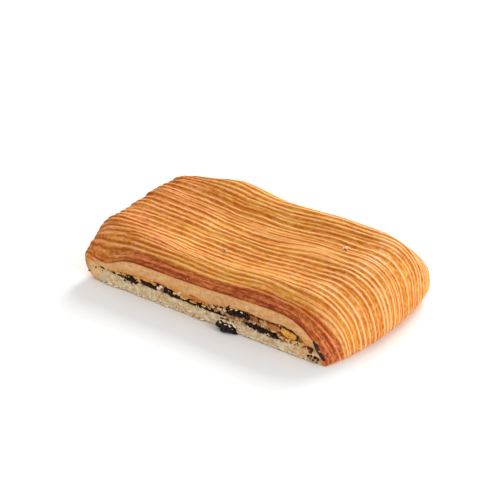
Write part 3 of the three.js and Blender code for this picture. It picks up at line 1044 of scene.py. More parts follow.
@dataclass
class DoughSleeve:
    """The laminated sleeve with its ridged skin, its two cut sides and the opening through it."""

    form: SleeveForm
    opening: Opening
    flow: RidgeFlow = RidgeFlow()
    crests: tuple[Crest, ...] = CRESTS
    profile: RidgeProfile = RidgeProfile()
    top_columns: int = 190
    under_columns: int = 70
    row_pitch: float = 0.245
    slope_step: float = 0.004
    right_reach: float = 72.0
    wall_depth: float = 0.45
    length_in_centimetres: float = 14.4
    teeth_per_millimetre: float = 0.36
    least_tooth: float = 0.3
    longest_tooth: float = 3.5
    band_back: Curve = natural_spline(
        (-66, -50, -30, 0, 12, 25, 40, 60), (-32.4, -32.8, -34.2, -34.3, -34, -32.8, -32.2, -31.6)
    )
    face_shares: tuple[float, ...] = (0.03, 0.07, 0.12, 0.2, 0.3, 0.4, 0.5, 0.6, 0.7, 0.8, 0.88, 0.95)
    depth_stations: tuple[float, ...] = (1, 0.94, 0.7, 0.35, 0, -0.35, -0.7, -0.94, -1)
    patches: tuple[SmoothPatch, ...] = (
        SmoothPatch(28, 4.2, 14, 1.5, 0.0),
        SmoothPatch(8, 8.2, 14, 1.8, 1.0),
        SmoothPatch(36, 0.8, 9, 1.2, 0.9),
        SmoothPatch(-6, 11.0, 6, 1.6, 0.7),
    )

    def lines(self) -> Array:
        """Lines of the crests, between those of the two cut sides."""
        return np.array([-self.form.half_width, *(crest.line for crest in self.crests), self.form.half_width])

    def skin_rows(self) -> tuple[Array, Array]:
        """Rows across the skin, with one along every crest.

        Returns:
            The line of each row and the number of the crest in front of it, counted from 1.
        """
        edges = self.lines()
        line, in_front = [], []
        for number, (near, far) in enumerate(zip(edges, edges[1:])):
            steps = max(3, round((far - near) / self.row_pitch))
            line += [near + (far - near) * k / steps for k in range(steps)]
            in_front += [number] * steps
        return np.array(line + [edges[-1]]), np.array(in_front + [len(self.crests)])

    def column_shares(self) -> tuple[Array, Array]:
        """Stations round the length section: over the top from the left, back underneath.

        Returns:
            Their share of the length, and which of them lie on top.
        """
        over = np.arange(self.top_columns + 1) / self.top_columns
        back = 1 - np.arange(1, self.under_columns) / self.under_columns
        share = np.concatenate((over, back))
        return share, np.arange(len(share)) <= self.top_columns

    def tips(self, line: Array) -> Array:
        """Serrates the left end.

        Args:
            line: Line of the ridge.

        Returns:
            How far its tip falls short of the plan.
        """
        saw = np.abs(((line * self.teeth_per_millimetre) % 1.0) - 0.5) * 2
        growth = (self.longest_tooth - self.least_tooth) * smooth(-2, 8, line) * (1 - smooth(28, 36, line))
        reach = self.least_tooth + growth
        room = self.form.left_corner_draw * np.clip(line / self.form.half_width, 0, 1) ** 3
        return np.maximum(reach * (saw - 0.6 + 0.3 * ripple(line * 0.9, 0.5, 45)), -room)

    def crowding(self, number: Array, x: Array) -> Array:
        """How much of a crest is left where its neighbours run close together: the odd ones fade out first.

        Args:
            number: Number of the crest.
            x: Place along the length.

        Returns:
            1 where it has its usual room, 0 where it is gone.
        """
        edges = self.lines()
        before, after = edges[np.maximum(number - 1, 0)], edges[np.minimum(number + 1, len(edges) - 1)]
        squeeze = (self.flow.across(x, after) - self.flow.across(x, before)) / (after - before)
        return np.where(number % 2 > 0, smooth(0.6, 0.9, squeeze), smooth(0.25, 0.48, squeeze))

    def standing(self, number: Array, x: Array) -> Array:
        """How far a crest would stand out with room beside it.

        Args:
            number: Number of the crest.
            x: Place along the length.

        Returns:
            Its height, from 0 to 1.25.
        """
        heights = np.array([0.0, *(crest.height for crest in self.crests), 0.0])[number]
        patchy = np.array([0.0, *(crest.patchy for crest in self.crests), 0.0])[number]
        change = ripple(x / 19, number * 1.3, 11) + 0.5 * ripple(x / 7, number * 2.1, 13)
        return np.clip(heights * (1 + patchy * change), 0, 1.25)

    def smoothed(self, x: Array, line: Array) -> tuple[Array, Array]:
        """Reads the patches that stayed smooth.

        Args:
            x: Place along the length.
            line: Line of the lamination.

        Returns:
            Share of smoothing, and share of olive in it.
        """
        share, olive = 0 * (x + line), 0 * (x + line)
        for patch in self.patches:
            cover = patch.cover(x, line)
            share, olive = np.maximum(share, cover), np.maximum(olive, cover * patch.olive)
        return share, olive

    def lay_out(self) -> SkinGrid:
        """Lays rows along the lines of the lamination and loops round the length section.

        Returns:
            The grid, rows from the shown cut side to the back.
        """
        form, flow = self.form, self.flow
        line, number = (part[:, None] for part in self.skin_rows())
        share, top = (part[None, :] for part in self.column_shares())
        left, _ = form.ends(flow.across(np.array(-form.half_length), line) / form.half_width)
        _, right = form.ends(flow.across(np.array(self.right_reach), line) / form.half_width)
        left = left + self.tips(line)
        x = bunched(left, right, share)
        y = flow.across(x, line)
        t = np.clip(y / form.half_width, -1, 1)
        plan_left, plan_right = form.ends(t)
        last = self.top_columns
        plan = plan_left + (left - plan_left[:, :1]), plan_right + (right - plan_right[:, last : last + 1])

        def height(at: Array) -> Array:
            """Height of the skin.

            Args:
                at: Share of the length.

            Returns:
                The height there.
            """
            px = bunched(left, right, at)
            return np.where(top, form.top(px, t, plan), form.under(px, t, plan))

        low, high = np.clip(share - self.slope_step, 0, 1), np.clip(share + self.slope_step, 0, 1)
        dx = bunched(left, right, high) - bunched(left, right, low)
        dz = height(high) - height(low)
        size = np.hypot(dx, dz)
        z = height(share)
        grip = np.where(top, 1.0, np.clip(z / form.nose(x, t, plan), 0, 1))
        face = np.where(top, 1.0, -1.0)
        return SkinGrid(line, number, share, top, x, y, z, face * dz / size, -face * dx / size, grip)

    def ridges(self, grid: SkinGrid) -> RidgeLines:
        """Finds the crests on either side of each point.

        Args:
            grid: The skin before its ridges are cut.

        Returns:
            What they do there.
        """
        edges, profile = self.lines(), self.profile
        x, number = grid.x, grid.number
        behind = grid.y - self.flow.across(x, edges[number])
        before = self.flow.across(x, edges[np.minimum(number + 1, len(edges) - 1)]) - grid.y
        here, ahead = self.crowding(number, x), self.crowding(number + 1, x)
        near, far = self.standing(number, x) * here, self.standing(number + 1, x) * ahead
        room = np.where(number % 2 > 0, here, ahead)
        gap = (behind + before) * (2 - room)
        thin = np.clip(gap / profile.usual_gap, profile.narrowest, profile.widest)
        lip_behind, lip_before = hump(behind, profile.lip[0] * thin), hump(before, profile.lip[1] * thin)
        shade_behind = hump(behind - profile.shade_at[0], profile.shade[0])
        shade_before = hump(before - profile.shade_at[1], profile.shade[1])
        return RidgeLines(
            lip=np.maximum(near * lip_behind, far * lip_before),
            light=np.maximum(near * hump(behind, profile.light[0]), far * hump(before, profile.light[1])),
            dark=near * shade_behind + far * shade_before,
            gap=gap,
            thin=thin,
            room=room,
        )

    def tone(self, grid: SkinGrid, ridges: RidgeLines, streak: Array, flat: Array) -> Array:
        """How light the crust is, save the cut side's rim, with painted highlights on crests and painted
        shade beside them.

        Args:
            grid: The skin before its ridges are cut.
            ridges: What the ridges do.
            streak: Fine streaks along the lamination.
            flat: Share of smoothing.

        Returns:
            The tone, about 0 to 1.
        """
        x, number = grid.x, grid.number
        # Painted highlight and shade: the raised lips and the lines on the crests are painted lighter, shine
        # varies their strength, and the lines beside them are painted darker.
        shine = 0.9 + 0.25 * ripple(x / 13, number * 2.3, 19) + 0.3 * ripple(x / 3.6, number * 3.7, 20)
        roomy = 0.3 + 0.7 * smooth(0.9, 2.1, ridges.gap)
        drawn = (0.66 * ridges.light * shine - 0.28 * ridges.dark) * roomy
        tone = 0.35 + 0.12 * ridges.lip + drawn + 0.12 * streak
        return mix(tone + 0.1 * ripple(x / 14, grid.line / 3.3, 33), 0.45 + 0.1 * streak, 0.8 * flat)

    def bake(self, grid: SkinGrid, rim: Array) -> Array:
        """How far the crust browned.

        Args:
            grid: The skin before its ridges are cut.
            rim: Share of the rim along the shown cut side.

        Returns:
            0 for golden to 1 for brown: the band above the opening, the left end and the right front corner.
        """
        x, y = grid.x, grid.y
        ragged = self.band_back(x) + 0.55 * ripple(x / 5, 0.5, 35)
        band = (1 - smooth(-1.4, 1.0, grid.line - ragged)) * smooth(-66, -58, x)
        band = band * mix(0.5, 1.0, smooth(-56, -36, x))
        left_end = 0.34 * smooth(-14, -62, x) + 0.16 * smooth(10, -30, x) * smooth(-12, -24, y)
        corner = 0.25 * smooth(40, 62, x) * smooth(-24, -32, y)
        browning = left_end + 0.5 * rim + 0.1 * ripple(x / 26, y / 14, 37) + corner
        baked = np.clip(np.maximum(band * (0.86 + 0.14 * ripple(x / 9, y, 39)), browning), 0, 1)
        return baked * np.where(grid.top, 1, grid.grip)

    def skin(self) -> tuple[Array, Array, dict[str, Array]]:
        """Cuts the ridges into the skin.

        Returns:
            Points, surface places and shading values, rows from the shown cut side to the back.
        """
        grid = self.lay_out()
        ridges = self.ridges(grid)
        x, y, line = grid.x, grid.y, grid.line
        flat, olive = self.smoothed(x, line)
        streak = ripple(x / 9, line / 1.1, 21) * (0.6 + 0.4 * ripple(x / 22, line / 5, 23))
        at_left = 0.9 * smooth(-52, -67, x) * smooth(-8, 2, y) * (1 - smooth(24, 34, y))
        relief = (1 - ridges.lip) * ridges.thin * (1 - 0.7 * flat) * (1 + at_left)
        relief = relief - 0.16 * streak * (0.2 + 0.8 * ridges.room)
        sink = np.maximum(self.profile.depth * relief + self.profile.skin_under_crest, 0) * grid.grip
        points = np.stack([x + grid.inward_x * sink, y, grid.z + grid.inward_z * sink], -1)
        zero = np.zeros_like(points[..., 0])
        around = np.where(grid.top, grid.share, 2 - grid.share) * self.length_in_centimetres
        uv = np.stack([around + zero, line / 10 + zero], -1)
        rim = (1 - smooth(0.2, 1.3, y + self.form.half_width)) * (0.5 + 0.5 * ripple(x / 9, 0.5, 34))
        tone = self.tone(grid, ridges, streak, flat) - 0.7 * rim
        values = {
            "tone": tone,
            "bake": self.bake(grid, rim),
            "cut": zero,
            "pale": zero,
            "smoothed": flat,
            "olive": olive,
            # Painted sheen, on the light crests at both ends.
            "painted_sheen": np.maximum(smooth(44, 64, x), 0.6 * smooth(-56, -68, x)) * smooth(0.45, 0.9, tone),
        }
        return points, uv, values

    def mouth(self, y: float) -> Array:
        """Loop on the wall of the opening.

        Args:
            y: Place across the width.

        Returns:
            Its points.
        """
        share, top = self.column_shares()
        x = bunched(self.opening.left, self.opening.right, share)
        t = np.full_like(x, np.clip(y / self.form.half_width, -1, 1))
        low, high = self.opening.floor(x), self.opening.roof(x, t)
        at_end = (share == 0) | (share == 1)
        z = np.where(at_end, (low + high) / 2, np.where(top, high, low))
        return np.stack([x, np.full_like(x, y), z], -1)

    def cut_side(self, outer: Array, side: Side) -> Array:
        """Rows from the skin's edge in to the opening.

        Args:
            outer: The skin's last loop on that side.
            side: Which cut side it is.

        Returns:
            The points, rows from the outside in.
        """
        face = side.face(self.form.half_width)
        inner = self.mouth(side.value * (face - self.wall_depth))
        share = np.array(self.face_shares)[:, None, None]
        rows = mix(outer[None], inner[None], share)
        swell = 0.2 * np.sin(np.pi * share[..., 0]) ** 0.5
        rough = 0.08 * ripple(rows[..., 0] / 1.3, rows[..., 2] / 1.1, 41 + side.value)
        rows[..., 1] = side.value * (face + swell + rough)
        return rows

    def crumb_share(self, points: Array) -> Array:
        """Where a cut side shows crumb: not on the crust that folds round the two ends.

        Args:
            points: Points of the cut side.

        Returns:
            1 for crumb and 0 for crust.
        """
        outer = smooth(-67.8, -66.0, points[..., 0]) * (1 - smooth(65.6, 67.2, points[..., 0]))
        over_fold = smooth(8.0, 9.6, points[..., 2]) * (1 - smooth(-64, -61.5, points[..., 0]))
        return outer * (1 - over_fold)

    def build(self, material: Material) -> Piece:
        """Builds the sleeve as one closed piece.

        Args:
            material: Its finish.

        Returns:
            The finished piece.
        """
        points, uv, values = self.skin()
        back = self.cut_side(points[-1], Side.BACK)
        front = self.cut_side(points[0], Side.SHOWN)[::-1]
        reach = Side.BACK.face(self.form.half_width) - self.wall_depth
        walls = np.stack([self.mouth(t * reach) for t in self.depth_stations])
        inner = np.concatenate([back, walls, front])
        _, top = self.column_shares()
        inner_values: dict[str, float | Array] = {
            "tone": 0.4,
            "bake": 0.3,
            "cut": self.crumb_share(inner),
            "pale": np.where(top, 0.4 * smooth(-58, -62, inner[..., 0]), 1.0),
            "smoothed": 0.0,
            "olive": 0.0,
            "painted_sheen": 0.0,
        }
        values = {
            key: np.concatenate([values[key], np.broadcast_to(value, inner.shape[:2])])
            for key, value in inner_values.items()
        }
        inner_uv = np.stack([inner[..., 0] / 10, inner[..., 2] / 10 + inner[..., 1] / 10], -1)
        uv = np.concatenate([uv, inner_uv, inner_uv[-1:]])
        uv = np.concatenate([uv, uv[:, -1:]], axis=1)
        sheet = Sheet(np.concatenate([points, inner]), uv, values, sliver=0.0002)
        return settle(sheet.to_object("dough_sleeve", material), "crust", "dough")


@dataclass
class CutLayer:
    """The crumb of one dough layer where it shows at a cut side: a strip with torn relief and a root."""

    form: SleeveForm
    opening: Opening
    side: Side
    layer: Layer
    left: float
    right: float
    rough: float
    ragged: float
    # How strongly painted shade darkens the deepest hollows of the relief.
    pit_shade_strength: float
    seed: int
    bulge: float = 0.35
    proud: float = 0.16
    deepest_pit: float = -0.35
    root: float = -0.9
    columns: int = 300
    rows_out: int = 17
    rows_in: int = 5

    def edges(self, x: Array) -> tuple[Array, Array]:
        """Edges of the layer along the cut side, before they are torn.

        Args:
            x: Place along the length.

        Returns:
            Height of the upper edge and of the lower edge.
        """
        t = np.full_like(x, float(self.side.value))
        ends = self.form.ends(t)
        roof, floor = self.opening.roof_at_face(x), self.opening.floor(x)
        closed = smooth(self.opening.left + 2, self.opening.left - 3, x)
        closed = closed + smooth(self.opening.right - 2, self.opening.right + 2, x)
        middle = (roof + floor) / 2
        if self.layer is Layer.UPPER:
            return self.form.top(x, t, ends) - 0.2, mix(roof, middle, closed)
        return mix(floor, middle, closed), np.maximum(self.form.under(x, t, ends), 0) + 0.03

    def tears(self, x: Array) -> tuple[Array, Array]:
        """How the two edges are torn: most along the opening, and not at the left fold.

        Args:
            x: Place along the length.

        Returns:
            What is added to the upper edge and to the lower edge.
        """
        high = self.ragged * (ripple(x / 1.9, 0, self.seed) + 0.7 * ripple(x / 0.8, 0, self.seed + 1))
        low = self.ragged * (ripple(x / 2.2, 0, self.seed + 2) + 0.7 * ripple(x / 0.9, 0, self.seed + 3))
        off_the_fold = smooth(-64, -56, x)
        if self.layer is Layer.UPPER:
            return high * 0.2, low * off_the_fold
        return high * off_the_fold, np.abs(low) * 0.8

    def toasted(self, x: Array, z: Array, down: Array) -> Array:
        """Where the crumb took colour: under the crust, along a torn edge and round the left fold.

        Args:
            x: Place along the length.
            z: Height.
            down: Share of the way from the upper edge to the lower edge.

        Returns:
            0 for pale to 1 for toasted.
        """
        cloud = 0.5 + 0.5 * ripple(x / 5, z / 2.5, self.seed + 9)
        fold = 1 - smooth(-64, -55, x)
        if self.layer is Layer.UPPER:
            edge = 0.5 * (1 - smooth(0.0, 0.16, down)) + 0.75 * smooth(0.72, 1.0, down) * cloud
            edge = edge * (1 - 0.8 * smooth(46, 57, x))
            corner = 0.3 * smooth(50, 62, x) * (1 - 0.6 * down)
            return np.clip(edge + 0.3 * cloud * smooth(0.3, 0.7, down) + 0.5 * fold + corner, 0, 1)
        base = smooth(0.86, 1.0, down) * (0.35 + 0.65 * smooth(-30, -60, x))
        corner = 0.75 * smooth(43, 56, x) * (0.45 + 0.55 * cloud)
        return np.clip(0.25 * cloud * (1 - down) + base + 0.8 * fold * (1 - 0.4 * down) + corner, 0, 1)

    def relief(self, x: Array, z: Array) -> Array:
        """Bumps and pits of the crumb.

        Args:
            x: Place along the length.
            z: Height.

        Returns:
            How far the crumb stands out, before its roughness is counted.
        """
        broad = ripple(x / 3.1, z / 2.0, self.seed + 4)
        small = ripple(x / 1.1, z / 0.8, self.seed + 5)
        seams = ripple(x / 8, z / 0.7, self.seed + 6)
        return 0.55 * broad + 0.4 * small + 0.35 * seams

    def build(self, name: str, material: Material) -> Piece:
        """Builds the layer's crumb as a closed strip.

        Args:
            name: Name of the piece.
            material: Its finish.

        Returns:
            The finished piece.
        """
        along = np.linspace(0, 1, self.columns)[None, :]
        outward, inward = np.linspace(0, 1, self.rows_out), np.linspace(1, 0, self.rows_in + 2)[1:-1]
        down = np.concatenate((outward, inward))[:, None]
        outside = (np.arange(len(down)) < self.rows_out)[:, None]
        x = mix(self.left, self.right, along) + 0 * down
        high, low = (edge + tear for edge, tear in zip(self.edges(x), self.tears(x)))
        taper = (1 - np.abs(2 * along - 1) ** 24) ** 0.5 + 0 * down
        middle = (high + low) / 2
        z = middle + (mix(high, low, down) - middle) * taper
        relief = self.relief(x, z)
        arch = np.sin(np.pi * down)
        calm = 0.25 + 0.75 * smooth(-65, -56, x)
        out = (self.bulge * arch**0.7 + self.rough * relief * (0.5 + 0.5 * arch)) * calm
        proud = np.where(outside, self.proud + np.maximum(out, self.deepest_pit), self.root)
        y = self.side.value * (self.side.face(self.form.half_width) + proud * taper)
        # Painted shade in the deepest hollows of the relief, fading out at the right end.
        pit_shade = np.clip((-relief - 0.25) * 0.9, 0, 1) * outside * self.pit_shade_strength * (1 - smooth(42, 52, x))
        uv = np.stack([x / 10, z / 10], -1)
        sheet = Sheet(
            np.stack([x, y, z], -1),
            np.concatenate([uv, uv[:1]]),
            {"pit_shade": pit_shade, "toasted": self.toasted(x, z, down)},
            columns_closed=False,
            pinched=True,
        )
        return settle(sheet.to_object(name, material), "crust")


# ---- the filling ------------------------------------------------------------------------------


@dataclass
class FillingLayer:
    """A layer of filling that runs through from cut side to cut side, with a broken face at both."""

    form: SleeveForm
    left: float
    right: float
    low: Surface
    high: Surface
    rough: float
    set_back: float
    shade: Surface
    seed: int
    columns: int = 190
    wedge: float = 1.5
    behind_face: float = 0.45
    cap_shares: tuple[float, ...] = (0, 0.35, 0.65, 0.86, 1)
    depth_stations: tuple[float, ...] = (0.985, 0.9, 0.5, 0, -0.5, -0.9, -0.985)

    def loop(self, t: float, spread: float, broken: bool) -> Array:
        """One loop round the layer.

        Args:
            t: Depth fraction.
            spread: How far it has grown from the layer's middle height.
            broken: Whether it lies on a broken face.

        Returns:
            Its points.
        """
        over = np.linspace(self.left, self.right, self.columns)
        x = np.concatenate((over, over[::-1]))
        upper = np.concatenate((np.ones(self.columns), np.zeros(self.columns)))
        depth = np.full_like(x, t)
        low, high = self.low(x, depth), self.high(x, depth)
        middle = (low + high) / 2
        taper = np.clip((x - self.left) / self.wedge, 0, 1) * np.clip((self.right - x) / self.wedge, 0, 1)
        z = mix(middle, mix(middle, np.where(upper > 0, high, low), spread), np.sqrt(taper))
        reach = self.form.half_width - self.behind_face - self.set_back
        if not broken:
            return np.stack([x, np.full_like(x, t * reach), z], -1)
        crag = ripple(x / 2.3, z / 1.3, self.seed) + 0.6 * ripple(x / 0.9, z / 0.7, self.seed + 1)
        z = z + 0.22 * spread * ripple(x / 1.3, 3.0 * upper, self.seed + 3) * np.sqrt(taper)
        return np.stack([x, t * (reach + self.rough * crag), z], -1)

    def build(self, node: str, material: Material, value: str, slot: str) -> Piece:
        """Builds the layer as a closed piece.

        Args:
            node: Name of the solid that it stands for.
            material: Its finish.
            value: Name of the shading value it carries.
            slot: The record's material slot.

        Returns:
            The finished piece.
        """
        back = [self.loop(1.0, share, True) for share in self.cap_shares]
        through = [self.loop(t, 1.0, False) for t in self.depth_stations]
        front = [self.loop(-1.0, share, True) for share in self.cap_shares[::-1]]
        grid = np.array([*back, *through, *front])
        uv = np.stack([grid[..., 0] / 10, (grid[..., 1] + grid[..., 2]) / 10], -1)
        mottle = 0.3 * ripple(grid[..., 0] / 4, grid[..., 2] / 1.5, self.seed + 2)
        shade = np.clip(self.shade(grid[..., 0], grid[..., 2]) + mottle, 0, 1)
        closed_uv = np.concatenate([uv, uv[:, :1]], axis=1)
        sheet = Sheet(grid, closed_uv, {value: shade}, rows_closed=False, merge=0.001)
        return settle(sheet.to_object(f"{node}_layer", material), slot, node)


def plain_dust(x: Array, z: Array) -> Array:
    """How dusty the run chocolate is: the same all over."""
    return 0.3 + 0 * (x + z)


def cream_dryness(x: Array, z: Array) -> Array:
    """How far the pastry cream dried and browned: least in the pocket near the right end."""
    return 0.85 - 0.85 * smooth(40, 46, x) * (1 - smooth(54, 57, x)) + 0 * z


@dataclass
class BrokenBit:
    """A bit of broken chocolate that stands for a solid: its middle, half its sizes and its turn about Y."""

    node: str
    at: Triple
    half: Triple
    turn: float
    seed: int
    rough: float
    crags: float = 0.2
    chips: float = 0.07
    core: float = 0.92

    def build(self, material: Material) -> Piece:
        """Builds the bit from a rounded body with facets, crags and chips.

        Args:
            material: Its finish.

        Returns:
            The finished piece.
        """
        bm = bmesh.new()
        bmesh.ops.create_icosphere(bm, subdivisions=5, radius=1.0)
        for vert in bm.verts:
            p = vert.co
            broad = math.sin(5 * p.x + self.seed) * math.cos(4 * p.y - self.seed)
            size = 1 + self.rough * (broad + math.sin(6 * p.z + 2 * self.seed)) / 2
            crag = ripple(p.x * 2.2 + p.y, p.z * 2.2 - p.y, self.seed)
            crag = crag + 0.5 * ripple(p.x * 6, p.z * 5, self.seed + 1)
            chip = ripple(p.x * 13 + 3 * p.y, p.z * 9 - 4 * p.y, self.seed + 2)
            vert.co = p * (size * (self.core + self.crags * float(crag) + self.chips * float(chip)))
        bmesh.ops.scale(bm, verts=bm.verts, vec=Vector(self.half))
        turn = Matrix.Rotation(math.radians(self.turn), 3, "Y")
        bmesh.ops.rotate(bm, verts=bm.verts, cent=Vector(), matrix=turn)
        bmesh.ops.translate(bm, verts=bm.verts, vec=Vector(self.at))
        return settle(finish_mesh(bm, f"{self.node}_piece", material), "chocolate", self.node)


# ---- crumbs and flakes ------------------------------------------------------------------------


@dataclass(frozen=True)
class Morsel:
    """One lump or flake in the filling: its place, its size, its tilt, its shade and how much is cream."""

    x: float
    z: float
    length: float
    height: float
    tilt: float
    shade: float
    yolk: float = 0.0
    proud: float = 0.0


@dataclass(frozen=True)
class Cluster:
    """A patch of the cut side that is strewn with crumbs or flakes."""

    left: float
    right: float
    low: float
    high: float
    count: int
    size: float
    shade: float
    flat: float = 0.8
    proud: float = 0.1
    yolk: float = 0.0
    variety: float = 0.2


def new_crumb_mesh() -> Mesh:
    """Starts a mesh whose points carry a shade and a share of cream.

    Returns:
        The empty mesh.
    """
    bm = bmesh.new()
    for key in ("shade", "yolk"):
        bm.verts.layers.float.new(key)
    return bm


def turned(about_y: float, about_x: float) -> Matrix:
    """Turn about X, then about Y, in radians."""
    return Matrix.Rotation(about_y, 4, "Y") @ Matrix.Rotation(about_x, 4, "X")


def add_crumb(bm: Mesh, place: Matrix, fineness: int, tone: tuple[float, float], seed: int) -> None:
    """Adds one rounded body, bent and cragged.

    Args:
        bm: The mesh that takes it.
        place: Its place, turn and size.
        fineness: How often the body is subdivided.
        tone: Its shade and its share of cream.
        seed: Whole number that picks its shape.
    """
    shade, yolk = (bm.verts.layers.float[key] for key in ("shade", "yolk"))
    made = bmesh.ops.create_icosphere(bm, subdivisions=fineness, radius=0.5)["verts"]
    at = np.array([vert.co for vert in made]) * 2
    crag = ripple(at[:, 0] * 1.6 + at[:, 1], at[:, 2] * 1.6 - at[:, 1], seed)
    chip = ripple(at[:, 0] * 4 - at[:, 1], at[:, 2] * 4 + at[:, 1], seed + 1)
    grow = 1 + 0.34 * crag + (0.16 if fineness > 1 else 0.0) * chip
    for vert, size, step in zip(made, grow, chip):
        vert.co = place @ (vert.co * float(size))
        vert[shade], vert[yolk] = tone[0] + 0.06 * float(step), tone[1]


@dataclass
class Crumbs:
    """Crumbs, lumps and flakes on a cut side, joined in one piece."""

    name: str
    clusters: tuple[Cluster, ...]
    morsels: tuple[Morsel, ...]
    side: Side
    half_width: float
    seed: int
    deepest_morsel: float = 1.5
    finer_above: float = 3.0

    def add_morsel(self, bm: Mesh, rng: np.random.Generator, m: Morsel, number: int) -> None:
        """Adds one lump or flake that has its own place.

        Args:
            bm: The mesh that takes it.
            rng: Source of the seeded scatter.
            m: The lump or flake.
            number: Its number, which picks its shape.
        """
        spot = Vector((m.x, self.side.value * (self.half_width + 0.05 + m.proud), m.z))
        turn = turned(math.radians(-m.tilt), rng.uniform(-0.3, 0.3))
        shape = Matrix.Diagonal((m.length, min(m.height * 1.2, self.deepest_morsel), m.height, 1.0))
        fineness = 3 if m.length * m.height > self.finer_above else 2
        place = Matrix.Translation(spot) @ turn @ shape
        add_crumb(bm, place, fineness, (m.shade, m.yolk), self.seed + 3 * number)

    def strew(self, bm: Mesh, rng: np.random.Generator, c: Cluster) -> None:
        """Adds one crumb of a cluster, somewhere in its patch.

        Args:
            bm: The mesh that takes it.
            rng: Source of the seeded scatter.
            c: The cluster.
        """
        size = c.size * rng.uniform(0.5, 1.25)
        y = self.side.value * (self.half_width + c.proud + rng.uniform(-0.1, 0.25))
        low = c.low + 0.4 * size * c.flat
        spot = Vector((rng.uniform(c.left, c.right), y, rng.uniform(low, c.high)))
        turn = turned(rng.uniform(0, math.pi), rng.uniform(-0.5, 0.5))
        shape = Matrix.Diagonal((size * rng.uniform(0.8, 1.5), size * 0.6, size * c.flat, 1.0))
        tone = (c.shade + rng.uniform(-c.variety, c.variety), c.yolk)
        add_crumb(bm, Matrix.Translation(spot) @ turn @ shape, 1, tone, int(rng.integers(1, 9999)))

    def build(self, material: Material, slot: str) -> Piece:
        """Builds every crumb and joins them.

        Args:
            material: Their finish.
            slot: The record's material slot.

        Returns:
            The finished piece.
        """
        rng = np.random.default_rng(self.seed)
        bm = new_crumb_mesh()
        for number, morsel in enumerate(self.morsels):
            self.add_morsel(bm, rng, morsel, number)
        for cluster in self.clusters:
            for _ in range(cluster.count):
                self.strew(bm, rng, cluster)
        return settle(finish_mesh(bm, self.name, material), slot)


